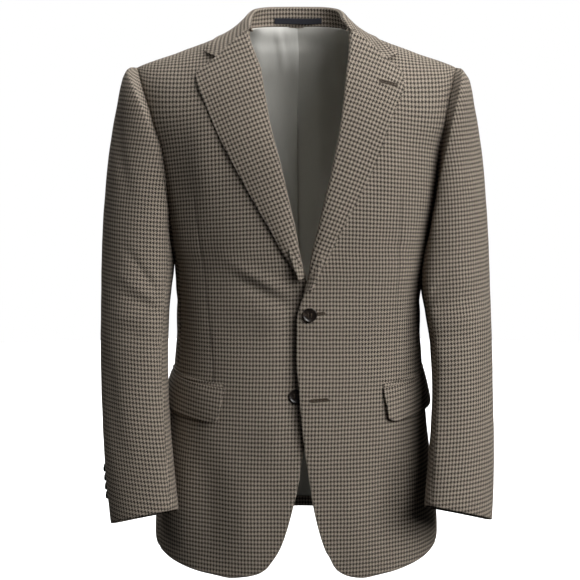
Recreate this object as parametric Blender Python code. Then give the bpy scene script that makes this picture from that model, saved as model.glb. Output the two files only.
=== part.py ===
"""Two-button tweed hacking jacket, hollow and filled out as it is worn.

Metres, +Z up, +X to the wearer's left, +Y to the wearer's back. The origin is midway between
the two neck points, where the shoulder seams meet the collar. Every piece that is cut and sewn
is an object of its own, a thin closed shell on one body form or on a sleeve.
"""

import math
from bisect import bisect_right

import bmesh
import bpy
from mathutils import Matrix, Vector

# Cloth and seams
CLOTH = 0.0022
LINING = 0.0010
SEAM_GAP = 0.0003
SIDES = ("left", "right")

# Shoulder line, from the neck point out to the sleeve head
NECK_X = 0.078
NECK_Z = 0.0006
SHOULDER_X = 0.2335
SHOULDER_Z = -0.0545
SHOULDER_SLOPE = (NECK_Z - SHOULDER_Z) / (SHOULDER_X - NECK_X)
SHOULDER_ROLL = 0.10

# Body form: how square a section is, and its sizes at each level
SQUARENESS = 2.3
BODY = (
    # height, half width, depth in front, depth behind
    (-0.800, 0.2130, 0.127, 0.137),
    (-0.720, 0.2105, 0.128, 0.140),
    (-0.640, 0.2015, 0.129, 0.141),
    (-0.570, 0.1925, 0.128, 0.134),
    (-0.500, 0.1845, 0.123, 0.121),
    (-0.430, 0.1800, 0.119, 0.112),
    (-0.370, 0.1805, 0.121, 0.111),
    (-0.310, 0.1860, 0.128, 0.116),
    (-0.260, 0.1930, 0.132, 0.123),
    (-0.210, 0.2020, 0.132, 0.129),
    (-0.170, 0.2120, 0.127, 0.131),
    (-0.134, 0.2250, 0.117, 0.128),
    (-0.105, 0.2300, 0.105, 0.121),
    (-0.070, 0.2345, 0.090, 0.110),
    (-0.050, 0.2335, 0.080, 0.103),
    (0.0300, 0.2335, 0.050, 0.090),
)
HEIGHT, HALF_WIDTH, FRONT_DEPTH, BACK_DEPTH = range(4)

# Hem, as heights around the body from centre front (0 degrees) to centre back (180)
HEM = (
    # turn, height of the left hem, height of the right hem
    (6.60, -0.7300, -0.7540),
    (9.70, -0.7470, -0.7690),
    (12.5, -0.7680, -0.7755),
    (18.0, -0.7795, -0.7805),
    (23.5, -0.7825, -0.7825),
    (30.0, -0.7800, -0.7800),
    (38.5, -0.7755, -0.7755),
    (52.0, -0.7660, -0.7660),
    (64.0, -0.7575, -0.7575),
    (72.0, -0.7520, -0.7520),
    (82.0, -0.7465, -0.7465),
    (106., -0.7435, -0.7435),
    (180., -0.7420, -0.7420),
)

# Front edges, from the neck down the roll line and the buttoned edge to the cutaway
EDGES = (
    # height, left front's edge, right front's edge, each measured to its own side
    (0.0006, 0.0780, 0.0780),
    (-0.040, 0.0732, 0.0532),
    (-0.090, 0.0672, 0.0442),
    (-0.140, 0.0605, 0.0352),
    (-0.190, 0.0500, 0.0222),
    (-0.240, 0.0378, 0.0105),
    (-0.290, 0.0258, -0.0005),
    (-0.340, 0.0140, -0.0082),
    (-0.352, 0.0118, -0.0100),
    (-0.371, 0.0093, -0.0200),
    (-0.412, 0.0004, -0.0300),
    (-0.464, 0.0004, -0.0300),
    (-0.513, 0.0042, -0.0260),
    (-0.589, 0.0104, -0.0105),
    (-0.645, 0.0184, -0.0025),
    (-0.675, 0.0232, 0.0042),
    (-0.712, 0.0316, 0.0140),
    (-0.738, 0.0400, 0.0235),
    (-0.770, 0.0550, 0.0440),
)
LAPEL_FOOT = {"left": -0.365, "right": -0.350}

# Lapel outer edges, from the lapel point down to the break
LAPELS = (
    # height, left lapel's edge, right lapel's edge
    (-0.0675, 0.1488, 0.1420),
    (-0.0851, 0.1500, 0.1380),
    (-0.1083, 0.1405, 0.1280),
    (-0.1277, 0.1319, 0.1195),
    (-0.1695, 0.1166, 0.0995),
    (-0.2099, 0.0985, 0.0775),
    (-0.2504, 0.0780, 0.0550),
    (-0.2889, 0.0577, 0.0330),
    (-0.3219, 0.0424, 0.0160),
    (-0.3497, 0.0250, 0.0011),
    (-0.3690, 0.0125, -0.0040),
)
NOTCH = {
    # side: (collar point), (notch corner), (top of the roll line), each across and up
    "left": ((0.1432, -0.0393), (0.1245, -0.0488), (0.0735, -0.0090)),
    "right": ((0.1317, -0.0354), (0.1100, -0.0468), (0.0680, -0.0090)),
}
LAPEL_CLEAR = (
    # share of the way from roll line to edge, gap to the front under it
    (0.00, 0.0009),
    (0.25, 0.0034),
    (0.60, 0.0042),
    (1.00, 0.0022),
)
ROLL_RISE = 0.008
ROLL_RISE_TOP = 0.0
ROLL_RISE_END = -0.11

# How far the left front stands over the right one at the centre
LAP = (
    # height, lift
    (-0.800, 0.0045),
    (-0.600, 0.0048),
    (-0.518, 0.0068),
    (-0.450, 0.0046),
    (-0.340, 0.0042),
    (-0.200, 0.0030),
    (-0.100, 0.0000),
)
LAP_REACH = 0.085

# The waist sits a little to the wearer's left of the shoulders
SWAY = (
    # height, shift
    (-0.620, 0.0000),
    (-0.540, 0.0015),
    (-0.460, 0.0030),
    (-0.360, 0.0030),
    (-0.310, 0.0000),
)

# Armhole: an oval round the side of the body
ARMHOLE_Z = -0.1775
ARMHOLE_HALF = 0.1230
ARMHOLE_TURN = {"front": 22.0, "back": 20.0}
ARMHOLE_FULLNESS = 0.7
SIDE_SEAM_AT = 132.0
ARMHOLE_STEPS = 6
UNDERARM_STEPS = 3

# Panel grids
LOWER_ROWS = (0.0, 0.035, 0.08, 0.15, 0.24, 0.35, 0.46, 0.57, 0.68, 0.78, 0.89, 1.0)
FRONT_COLUMNS = 7
NECK_COLUMNS = 3
LAPEL_ROWS = 10
LAPEL_COLUMNS = 4

# Collar: one row for each station from the front end to centre back
COLLAR = (
    # fold x, y, z; outer edge x, y, z; neck seam x, y, z
    ((0.0695, -0.0150, 0.0140), (0.1240, -0.0300, -0.0195), (0.0760, -0.0060, 0.0000)),
    ((0.0665, 0.0080, 0.0232), (0.1125, 0.0020, -0.0085), (0.0765, 0.0070, 0.0020)),
    ((0.0600, 0.0350, 0.0310), (0.1035, 0.0400, -0.0085), (0.0700, 0.0260, 0.0035)),
    ((0.0430, 0.0560, 0.0352), (0.0810, 0.0760, -0.0085), (0.0520, 0.0440, 0.0045)),
    ((0.0220, 0.0645, 0.0363), (0.0430, 0.0950, -0.0095), (0.0270, 0.0545, 0.0058)),
    ((0.0000, 0.0670, 0.0366), (0.0000, 0.1010, -0.0100), (0.0000, 0.0580, 0.0062)),
)
STAND_TURN_IN = 0.0035

# Sleeves, from the armhole to the cuff
SLEEVE = (
    # outer x and inner x of the right sleeve, then of the left, outer z, inner z, middle y,
    # half depth, tilt of the ring in degrees
    (0.2435, 0.1920, 0.2425, 0.1920, -0.0582, -0.3070, 0.000, 0.0580, 0.0),
    (0.2535, 0.1900, 0.2520, 0.1905, -0.0740, -0.3150, 0.000, 0.0640, 0.0),
    (0.2630, 0.1885, 0.2600, 0.1885, -0.1090, -0.3250, -0.002, 0.0680, 0.0),
    (0.2715, 0.1868, 0.2675, 0.1870, -0.1550, -0.3370, -0.005, 0.0700, 0.5),
    (0.2790, 0.1855, 0.2745, 0.1860, -0.2130, -0.3520, -0.010, 0.0700, 1.5),
    (0.2845, 0.1865, 0.2795, 0.1865, -0.2850, -0.3760, -0.018, 0.0680, 3.0),
    (0.2865, 0.1878, 0.2815, 0.1935, -0.3600, -0.4120, -0.030, 0.0655, 5.0),
    (0.2865, 0.1875, 0.2835, 0.1990, -0.4300, -0.4570, -0.045, 0.0625, 8.0),
    (0.2840, 0.1855, 0.2838, 0.1965, -0.5000, -0.5100, -0.062, 0.0590, 11.0),
    (0.2800, 0.1815, 0.2838, 0.1935, -0.5650, -0.5660, -0.080, 0.0555, 14.0),
    (0.2745, 0.1755, 0.2815, 0.1890, -0.6250, -0.6200, -0.098, 0.0515, 16.0),
    (0.2680, 0.1675, 0.2785, 0.1835, -0.6950, -0.6780, -0.118, 0.0465, 18.0),
)
SLEEVE_SQUARENESS = 2.15
RIGHT_CUFF_DROP = 0.004
FORE_SEAM = 132.0
HIND_SEAM = -75.0

# Pocket flaps and their jettings, around the hips
FLAP_FRONT = {"left": 37.3, "right": 30.9}
FLAP_BACK = {"left": 92.0, "right": 87.0}
FLAP_TOP = -0.5094
FLAP_RISE = 0.0135
FLAP_HEIGHT = 0.0500
FLAP_COLUMNS = 8
FLAP_ROWS = 3
FLAP_LIFT = 0.0065
FLAP_CLOTH = 0.0020
JETTING_HEIGHT = 0.0060
JETTING_CLOTH = 0.0012

# Hanger loop inside the collar stand
LOOP_CENTRE = 0.0027
LOOP_LENGTH = 0.070
LOOP_Z = (0.0115, 0.0200)
LOOP_CLOTH = 0.0012

# Buttons
FRONT_BUTTON = 0.0100
BUTTON_SEAT = 0.0006
TOP_BUTTON = (0.0175, -0.402)
LOWER_BUTTON = (-0.0030, -0.518)
CUFF_BUTTON = 0.0072
CUFF_BUTTONS = 4
CUFF_BUTTON_STEP = 0.0130
CUFF_BUTTON_TILT = 15.5
CUFF_BUTTON_TURN = {"left": -38.0, "right": -19.0}
CUFF_BUTTON_LOW = 0.72


def smooth(table, column, at):
    """Value of a table's column at a key, on a smooth curve that never overshoots its rows."""
    rows = sorted(table, key=lambda row: row[0])
    keys = [row[0] for row in rows]
    values = [row[column] for row in rows]
    at = min(max(at, keys[0]), keys[-1])
    low = max(0, min(bisect_right(keys, at), len(keys) - 1) - 1)
    steps = [(values[i + 1] - values[i]) / (keys[i + 1] - keys[i]) for i in range(len(keys) - 1)]

    def slope(i):
        before = steps[max(i - 1, 0)]
        after = steps[min(i, len(steps) - 1)]
        if before * after <= 0:
            return 0.0
        return 2 * before * after / (before + after)

    width = keys[low + 1] - keys[low]
    s = (at - keys[low]) / width
    start, end = values[low], values[low + 1]
    ease = s * s * (3 - 2 * s)
    lead = s * (1 - s) ** 2 * slope(low) - s * s * (1 - s) * slope(low + 1)
    return start + (end - start) * ease + width * lead


def mix(a, b, share):
    return a + (b - a) * share


def power(value, exponent):
    return math.copysign(abs(value) ** exponent, value)


def shoulder_z(x):
    """Height of the shoulder line over a place on one side of the body."""
    return NECK_Z - SHOULDER_SLOPE * (abs(x) - NECK_X)


def body_point(turn, z):
    """Outer face of the cloth at a turn from centre front, in degrees, and a height."""
    angle = math.radians(turn)
    x = smooth(BODY, HALF_WIDTH, z) * power(math.sin(angle), 2 / SQUARENESS)
    depth = smooth(BODY, BACK_DEPTH, z) if math.cos(angle) < 0 else -smooth(BODY, FRONT_DEPTH, z)
    below = min(max(shoulder_z(x) - z, 0.0) / SHOULDER_ROLL, 1.0)
    closing = math.sqrt(1 - (1 - below) ** 2)
    return Vector((x, depth * abs(math.cos(angle)) ** (2 / SQUARENESS) * closing, z))


def body_normal(turn, z):
    """Direction out of the body form, straight up off the slope along the shoulder line."""
    step = 0.0006
    place = body_point(turn, z)
    if shoulder_z(place.x) - z < step:
        return Vector((SHOULDER_SLOPE, 0, 1)).normalized()
    across = body_point(turn + 0.4, z) - body_point(turn - 0.4, z)
    up = body_point(turn, z + step) - body_point(turn, z - step)
    return across.cross(up).normalized()


def body_turn(x, z):
    """Turn on the front of the body form at which it is x wide, at a height."""
    share = x / smooth(BODY, HALF_WIDTH, z)
    return math.degrees(math.asin(min(1.0, max(-1.0, power(share, SQUARENESS / 2)))))


def armhole_turn(around):
    """Turn and height of the armhole at an angle from its top, positive to the front."""
    angle = math.radians(around)
    place = "front" if around >= 0 else "back"
    spread = ARMHOLE_TURN[place] * abs(math.sin(angle)) ** ARMHOLE_FULLNESS
    turn = 90 - spread if place == "front" else 90 + spread
    return turn, ARMHOLE_Z + ARMHOLE_HALF * math.cos(angle)


SIDE_SEAM_Z = armhole_turn(SIDE_SEAM_AT)[1]
FRONT_SEAM_TURN = armhole_turn(SIDE_SEAM_AT)[0]
BACK_SEAM_TURN = armhole_turn(-SIDE_SEAM_AT)[0]
ARMHOLE_SHARES = [step / ARMHOLE_STEPS for step in range(ARMHOLE_STEPS + 1)]


def side_column(side):
    return 1 if side == "left" else 2


def lap_lift(side, x, z):
    """How far the left front stands off the body form, to clear the right one under it."""
    if side == "right":
        return 0.0
    share = min(max(1 - x / LAP_REACH, 0.0), 1.0)
    return smooth(LAP, 1, z) * share * share * (3 - 2 * share)


def front_place(side, turn, z):
    """Outer face and outward direction of a front, on the positive side."""
    place = body_point(turn, z)
    normal = body_normal(turn, z)
    return place + normal * lap_lift(side, place.x, z), normal


def panel(turns_and_heights, side=None):
    """Rows of outer points and outward directions over the body form."""
    places = []
    for row in turns_and_heights:
        if side:
            places.append([front_place(side, turn, z) for turn, z in row])
        else:
            places.append([(body_point(turn, z), body_normal(turn, z)) for turn, z in row])
    points = [[place[0] for place in row] for row in places]
    normals = [[place[1] for place in row] for row in places]
    return points, normals


def hem_z(side, turn):
    return smooth(HEM, side_column(side), turn)


def front_grid(side):
    """Turns and heights of a front, from hem to shoulder, from its edge to the side seam."""
    column = side_column(side)
    shares = [step / FRONT_COLUMNS for step in range(FRONT_COLUMNS + 1)]
    rows = []
    for up in LOWER_ROWS:
        edge_turn = 0.0
        edge_z = mix(hem_z(side, 8.0), SIDE_SEAM_Z, up)
        for _ in range(6):
            edge_turn = body_turn(smooth(EDGES, column, edge_z), edge_z)
            edge_z = mix(hem_z(side, edge_turn), SIDE_SEAM_Z, up)
        row = []
        for share in shares:
            turn = mix(edge_turn, FRONT_SEAM_TURN, share)
            row.append((turn, mix(hem_z(side, turn), SIDE_SEAM_Z, up)))
        rows.append(row)
    neck_turn = body_turn(NECK_X, NECK_Z)
    for share_up in ARMHOLE_SHARES[1:]:
        out_turn, out_z = armhole_turn(mix(SIDE_SEAM_AT, 0.0, share_up))
        up = (out_z - SIDE_SEAM_Z) / (SHOULDER_Z - SIDE_SEAM_Z)
        edge_z = mix(SIDE_SEAM_Z, NECK_Z, up)
        edge_turn = body_turn(smooth(EDGES, column, edge_z), edge_z)
        row = []
        for share in shares:
            top_turn = mix(neck_turn, 90.0, share)
            top_z = shoulder_z(SHOULDER_X * power(math.sin(math.radians(top_turn)), 2 / SQUARENESS))
            row.append((mix(edge_turn, out_turn, share), mix(SIDE_SEAM_Z, top_z, up)))
        rows.append(row)
    return rows


def neckline_z(share):
    """Height of the back neckline, from centre back to the neck point."""
    return mix(0.0040, NECK_Z, share) - 0.008 * math.sin(math.pi * share) ** 2


def back_grid():
    """Turns and heights of one half of the back, from hem to shoulder, from centre back out."""
    neck_turn = 180 - body_turn(NECK_X, NECK_Z)
    columns = NECK_COLUMNS + FRONT_COLUMNS
    top = []
    for column in range(columns + 1):
        if column <= NECK_COLUMNS:
            share = column / NECK_COLUMNS
            top.append((mix(180.0, neck_turn, share), neckline_z(share)))
        else:
            share = (column - NECK_COLUMNS) / FRONT_COLUMNS
            turn = mix(neck_turn, 90.0, share)
            z = shoulder_z(SHOULDER_X * power(math.sin(math.radians(turn)), 2 / SQUARENESS))
            top.append((turn, z))
    rows = []
    for up in LOWER_ROWS:
        row = []
        for column in range(columns + 1):
            turn = mix(180.0, BACK_SEAM_TURN, column / columns)
            row.append((turn, mix(hem_z("left", turn), SIDE_SEAM_Z, up)))
        rows.append(row)
    for share_up in ARMHOLE_SHARES[1:]:
        out_turn, out_z = armhole_turn(-mix(SIDE_SEAM_AT, 0.0, share_up))
        up = (out_z - SIDE_SEAM_Z) / (SHOULDER_Z - SIDE_SEAM_Z)
        row = []
        for column, (top_turn, top_z) in enumerate(top):
            reach = mix(column / columns, (180.0 - top_turn) / 90.0, up)
            row.append((mix(180.0, out_turn, reach), mix(SIDE_SEAM_Z, top_z, up)))
        rows.append(row)
    return rows


def side_grid():
    """Turns and heights of the panel under the arm."""
    steps = 2 * UNDERARM_STEPS
    rows = []
    tops = []
    for step in range(steps + 1):
        around = mix(SIDE_SEAM_AT, 360 - SIDE_SEAM_AT, step / steps)
        tops.append(armhole_turn(around if around <= 180 else around - 360))
    for up in LOWER_ROWS:
        rows.append([(turn, mix(hem_z("left", turn), top_z, up)) for turn, top_z in tops])
    return rows


def inset(points, borders, gap=SEAM_GAP / 2):
    """Draw the named borders of a grid in by half a seam gap, along the cloth."""
    moved = [[place.copy() for place in row] for row in points]
    rows, columns = len(points), len(points[0])
    for i in range(rows):
        for j in range(columns):
            if "first_row" in borders and i == 0:
                moved[i][j] += (points[1][j] - points[0][j]).normalized() * gap
            if "last_row" in borders and i == rows - 1:
                moved[i][j] += (points[-2][j] - points[-1][j]).normalized() * gap
            if "first_column" in borders and j == 0:
                moved[i][j] += (points[i][1] - points[i][0]).normalized() * gap
            if "last_column" in borders and j == columns - 1:
                moved[i][j] += (points[i][-2] - points[i][-1]).normalized() * gap
    return moved


def grid_normals(points):
    """Outward directions of a grid whose columns turn to the wearer's left as rows rise."""
    rows, columns = len(points), len(points[0])
    normals = []
    for i in range(rows):
        row = []
        for j in range(columns):
            across = points[i][min(j + 1, columns - 1)] - points[i][max(j - 1, 0)]
            up = points[min(i + 1, rows - 1)][j] - points[max(i - 1, 0)][j]
            row.append(across.cross(up).normalized())
        normals.append(row)
    return normals


def scaled(vectors, length):
    return [[vector * length for vector in row] for row in vectors]


def mirrored(rows):
    return [[Vector((-v.x, v.y, v.z)) for v in row] for row in rows]


def cloth_material(name, colour, roughness):
    """Principled finish of one piece."""
    material = bpy.data.materials.new(name)
    material.use_nodes = True
    shader = material.node_tree.nodes["Principled BSDF"]
    shader.inputs["Base Color"].default_value = (*colour, 1.0)
    shader.inputs["Roughness"].default_value = roughness
    shader.inputs["Metallic"].default_value = 0.0
    material.diffuse_color = (*colour, 1.0)
    return material


TWEED = (0.20, 0.16, 0.12)
SATIN = (0.42, 0.42, 0.40)
NAVY = (0.03, 0.03, 0.04)
HORN = (0.03, 0.02, 0.015)


def place_mesh(name, mesh, colour, roughness):
    """Put a finished bmesh in the scene as one named object with its own material."""
    data = bpy.data.meshes.new(name)
    bmesh.ops.recalc_face_normals(mesh, faces=mesh.faces)
    mesh.to_mesh(data)
    mesh.free()
    data.materials.append(cloth_material(name, colour, roughness))
    thing = bpy.data.objects.new(name, data)
    jacket.objects.link(thing)
    return thing


def shell(name, outer, wall, colour=TWEED, roughness=0.9):
    """Closed thin piece: a grid on the outer points, and its wall drawn in from it."""
    rows, columns = len(outer), len(outer[0])
    mesh = bmesh.new()
    bmesh.ops.create_grid(mesh, x_segments=columns - 1, y_segments=rows - 1, size=1.0)
    drawn = bmesh.ops.extrude_face_region(mesh, geom=mesh.faces[:], use_keep_orig=True)
    inner = {item for item in drawn["geom"] if isinstance(item, bmesh.types.BMVert)}
    for vertex in mesh.verts:
        j = round((vertex.co.x + 1) / 2 * (columns - 1))
        i = round((vertex.co.y + 1) / 2 * (rows - 1))
        vertex.co = outer[i][j] + (wall[i][j] if vertex in inner else Vector())
    bmesh.ops.triangulate(mesh, faces=mesh.faces[:])
    return place_mesh(name, mesh, colour, roughness)


def swayed(place):
    return place + Vector((smooth(SWAY, 1, place.z), 0, 0))


def on_sleeve(name, side, points, walls, **finish):
    if side == "right":
        points, walls = mirrored(points), mirrored(walls)
    return shell(f"{name}_{side}", points, walls, **finish)


def on_body(name, side, points, walls, **finish):
    if side == "right":
        points, walls = mirrored(points), mirrored(walls)
    points = [[swayed(place) for place in row] for row in points]
    return shell(f"{name}_{side}", points, walls, **finish)


def make_body(side):
    """Front, side panel and back of one side, each drawn in from its seams."""
    points, normals = panel(front_grid(side), side)
    points = inset(points, ("last_row", "last_column"))
    on_body("front", side, points, scaled(normals, -CLOTH))
    points, normals = panel(side_grid())
    points = inset(points, ("first_column", "last_column"))
    on_body("side_panel", side, points, scaled(normals, -CLOTH))
    points, normals = panel(back_grid())
    points = inset(points, ("last_row", "first_column", "last_column"))
    on_body("back", side, points, scaled(normals, -CLOTH))


def make_lining(side):
    """Half of the back lining, hung inside the back from the neck seam to above the hem."""
    rows = [row[:-1] for row in back_grid()[1:]]
    points, normals = panel(rows)
    inside = CLOTH + 0.0008
    lined = []
    for i, row in enumerate(points):
        lined.append([place - normals[i][j] * inside for j, place in enumerate(row)])
    lined = inset(lined, ("first_column",), SEAM_GAP)
    on_body("back_lining", side, lined, scaled(normals, -LINING), colour=SATIN, roughness=0.35)


def lapel_base(side, x, z, share):
    """Outer face of the turned-back lapel over a place on the front."""
    turn = body_turn(x, z)
    place, normal = front_place(side, turn, z)
    rise = min(max((z - ROLL_RISE_END) / (ROLL_RISE_TOP - ROLL_RISE_END), 0.0), 1.0)
    near_roll = max(0.0, 1 - share * 1.6)
    off = smooth(LAPEL_CLEAR, 1, share) + CLOTH + ROLL_RISE * rise * rise * near_roll
    return place + normal * off, normal


def make_lapel(side):
    """Lapel, from the roll line to its edge and from the break up to the gorge and notch."""
    column = side_column(side)
    point, corner, top = NOTCH[side]
    tip = (LAPELS[0][column], LAPELS[0][0])
    notch_share = 0.5
    rows, normals = [], []
    for i in range(LAPEL_ROWS + 1):
        up = i / LAPEL_ROWS
        roll_z = mix(LAPEL_FOOT[side], top[1], up)
        edge_z = mix(LAPEL_FOOT[side] - 0.002, tip[1], up)
        roll_x = mix(smooth(EDGES, column, roll_z), top[0], max(0.0, up - 0.85) / 0.15)
        edge_x = smooth(LAPELS, column, edge_z)
        row, row_normals = [], []
        for j in range(LAPEL_COLUMNS + 1):
            share = j / LAPEL_COLUMNS
            x, z = mix(roll_x, edge_x, share), mix(roll_z, edge_z, share)
            if share <= notch_share:
                over = (mix(top[0], corner[0], share / notch_share),
                        mix(top[1], corner[1], share / notch_share))
            else:
                rest = (share - notch_share) / (1 - notch_share)
                over = (mix(corner[0], tip[0], rest), mix(corner[1], tip[1], rest))
            pull = up ** 6
            x += (over[0] - mix(top[0], tip[0], share)) * pull
            z += (over[1] - mix(top[1], tip[1], share)) * pull
            place, normal = lapel_base(side, x, z, share)
            row.append(place)
            row_normals.append(normal)
        rows.append(row)
        normals.append(row_normals)
    rows = inset(rows, ("last_row",), SEAM_GAP)
    on_body("lapel", side, rows, scaled(normals, -CLOTH))


def collar_row(side, station):
    """Points of one station of the collar, from the neck seam over the fold to the outer edge."""
    fold, edge, seam = (Vector(place) for place in station)
    middle = seam.lerp(fold, 0.5)
    inward = Vector((-middle.x, -middle.y, 0)).normalized() if middle.length else Vector()
    stand = [seam, middle + inward * STAND_TURN_IN * 0.4, fold + inward * STAND_TURN_IN]
    over = fold + Vector((0, 0, 0.0012)) - inward * 0.0012
    away = (edge - fold).normalized()
    bulge = Vector((0, 0, 1)) - away * away.z
    fall = [over]
    for share, rise in ((0.20, -0.0006), (0.45, -0.0028), (0.75, -0.0030)):
        fall.append(fold.lerp(edge, share) + bulge.normalized() * rise - inward * 0.0016)
    fall.append(edge)
    row = stand + fall
    return row if side == "left" else [Vector((-v.x, v.y, v.z)) for v in row]


def collar_end(side):
    """Front end of the collar, along the gorge and the notch."""
    point, corner, top = NOTCH[side]
    fold = lapel_base(side, top[0], top[1] + 0.0012, 0.0)[0] + Vector((0, 0.0014, 0.0020))
    over_point = lapel_base(side, point[0], point[1], 1.0)[0]
    over_corner = lapel_base(side, corner[0] - 0.001, corner[1] + 0.0014, 0.5)[0]
    seam = fold + Vector((-0.004, 0.003, -0.006))
    row = [seam, seam.lerp(fold, 0.5), fold + Vector((-0.001, 0.001, 0)), fold,
           fold.lerp(over_corner, 0.30), fold.lerp(over_corner, 0.68), over_corner, over_point]
    return row if side == "left" else [Vector((-v.x, v.y, v.z)) for v in row]


def make_collar():
    """Collar: stand up from the neck seam, folded over into the fall, in one piece."""
    left = [collar_end("left")] + [collar_row("left", station) for station in COLLAR]
    right = [collar_end("right")] + [collar_row("right", station) for station in COLLAR[:-1]]
    rows = left + right[::-1]
    normals = [[-normal for normal in row] for row in grid_normals(rows)]
    return rows, normals


def sleeve_rings(side):
    """Points of a sleeve, ring by ring, each from the top round the front and back again."""
    turns = sleeve_turns()
    across, inner = (2, 3) if side == "left" else (0, 1)
    rings = [[body_point(*armhole_turn(turn)) + Vector((SEAM_GAP * 1.3, 0, 0)) for turn in turns]]
    for ring in SLEEVE:
        drop = RIGHT_CUFF_DROP * (ring[4] / SLEEVE[-1][4]) ** 6 if side == "right" else 0.0
        outer_side = Vector((ring[across], ring[6], ring[4] - drop))
        inner_side = Vector((ring[inner], ring[6], ring[5] - drop))
        middle = (outer_side + inner_side) / 2
        reach = (outer_side - inner_side) / 2
        tilt = math.radians(ring[8])
        forward = Vector((0, -math.cos(tilt), math.sin(tilt))) * ring[7]
        row = []
        for turn in turns:
            angle = math.radians(turn)
            along = power(math.cos(angle), 2 / SLEEVE_SQUARENESS)
            aside = power(math.sin(angle), 2 / SLEEVE_SQUARENESS)
            row.append(middle + reach * along + forward * aside)
        rings.append(row)
    return turns, rings


def sleeve_turns():
    """Angles round a sleeve, through each armhole corner, from hind seam round to hind seam."""
    upper = [mix(0.0, SIDE_SEAM_AT, share) for share in ARMHOLE_SHARES]
    under = [mix(SIDE_SEAM_AT, 180.0, step / UNDERARM_STEPS) for step in range(1, UNDERARM_STEPS)]
    front = upper + under
    return [-turn for turn in front[:0:-1]] + front + [180.0]


def make_sleeve(side):
    """Top sleeve and under sleeve, joined at the fore-arm and hind-arm seams."""
    turns, rings = sleeve_rings(side)
    count = len(turns)
    normals = []
    for i, ring in enumerate(rings):
        row = []
        for j in range(count):
            around = ring[(j + 1) % count] - ring[j - 1]
            along = rings[min(i + 1, len(rings) - 1)][j] - rings[max(i - 1, 0)][j]
            row.append(along.cross(around).normalized() * CLOTH)
        normals.append(row)
    for j, place in enumerate(rings[0]):
        normals[0][j] = Vector((0, -place.y, ARMHOLE_Z - place.z)).normalized() * CLOTH
    for i, ring in enumerate(rings[1:], 1):
        middle = sum(ring, Vector()) / count
        for j, place in enumerate(ring):
            if normals[i][j].dot(middle - place) < 0:
                normals[i][j] = -normals[i][j]
    first = min(range(count), key=lambda j: abs(turns[j] - HIND_SEAM))
    last = min(range(count), key=lambda j: abs(turns[j] - FORE_SEAM))
    top_columns = list(range(first, last + 1))
    under_columns = list(range(last, count)) + list(range(0, first + 1))
    for name, columns in (("top_sleeve", top_columns), ("under_sleeve", under_columns)):
        points = [[ring[j] for j in columns] for ring in rings]
        walls = [[row[j] for j in columns] for row in normals]
        points = inset(points, ("first_column", "last_column"))
        on_sleeve(name, side, points, walls)


def make_flap(side):
    """Pocket flap over the hip and the jetting along its top."""
    front, back = FLAP_FRONT[side], FLAP_BACK[side]
    rows, normals, jetting, jetting_normals = [], [], [], []
    for i in range(FLAP_ROWS + 1):
        down = i / FLAP_ROWS
        row, row_normals = [], []
        for j in range(FLAP_COLUMNS + 1):
            share = j / FLAP_COLUMNS
            shorter = 0.006 * max(0.0, 1 - share * FLAP_COLUMNS) ** 2
            turn = mix(front, back, share) + 1.6 * down * (1 - share)
            z = FLAP_TOP + FLAP_RISE * share - (FLAP_HEIGHT - shorter) * down
            place, normal = front_place(side, turn, z)
            off = FLAP_CLOTH + 0.0008 + 0.0012 * down + FLAP_LIFT * down * share ** 4
            row.append(place + normal * off)
            row_normals.append(normal)
        rows.append(row)
        normals.append(row_normals)
    on_body("pocket_flap", side, rows, scaled(normals, -FLAP_CLOTH))
    for i in range(2):
        row, row_normals = [], []
        for j in range(FLAP_COLUMNS + 1):
            share = j / FLAP_COLUMNS
            z = FLAP_TOP + FLAP_RISE * share + SEAM_GAP + JETTING_HEIGHT * i
            place, normal = front_place(side, mix(front, back, share), z)
            row.append(place + normal * (JETTING_CLOTH + 0.0006))
            row_normals.append(normal)
        jetting.append(row)
        jetting_normals.append(row_normals)
    on_body("jetting", side, jetting, scaled(jetting_normals, -JETTING_CLOTH))


def make_loop():
    """Flat hanger loop across the inside of the stand at centre back."""
    stand = [collar_row("left", station) for station in COLLAR[-3:]]
    halves = stand + [collar_row("right", station) for station in COLLAR[-2:-4:-1]]
    rows = []
    for z in LOOP_Z:
        row = []
        for step in range(7):
            x = LOOP_CENTRE + LOOP_LENGTH * (step / 6 - 0.5)
            row.append(Vector((x, loop_depth(halves, x, z), z)))
        rows.append(row)
    wall = [[Vector((0, -LOOP_CLOTH, 0)) for _ in row] for row in rows]
    return shell("hanger_loop", rows, wall, colour=NAVY, roughness=0.8)


def loop_depth(stations, x, z):
    """Depth of the stand's inner face over a place across and up, less the seat gap."""
    depths = []
    for station in stations:
        seam, middle, fold = station[:3]
        low, high = (seam, middle) if z < middle.z else (middle, fold)
        share = (z - low.z) / (high.z - low.z)
        place = low.lerp(high, share)
        depths.append((place.x, place.y))
    depths.sort()
    depth = smooth(depths, 1, x)
    return depth - CLOTH - 0.0012


def make_button(name, radius, thick, frame):
    """Round button: a blank with a raised rim and a sunk middle, set by a frame on the cloth."""
    mesh = bmesh.new()
    bmesh.ops.create_cone(mesh, cap_ends=True, segments=16, radius1=radius * 0.86,
                          radius2=radius, depth=thick * 0.5,
                          matrix=Matrix.Translation((0, 0, thick * 0.25)))
    top = [face for face in mesh.faces if face.normal.z > 0.9]
    raised = bmesh.ops.extrude_discrete_faces(mesh, faces=top)["faces"]
    bmesh.ops.translate(mesh, verts=raised[0].verts[:], vec=(0, 0, thick * 0.5))
    for _ in ("rim", "slope"):
        bmesh.ops.inset_region(mesh, faces=raised, thickness=radius * 0.14)
    bmesh.ops.translate(mesh, verts=raised[0].verts[:], vec=(0, 0, -thick * 0.28))
    bmesh.ops.transform(mesh, matrix=frame, verts=mesh.verts[:])
    bmesh.ops.triangulate(mesh, faces=mesh.faces[:])
    return place_mesh(name, mesh, HORN, 0.3)


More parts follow.
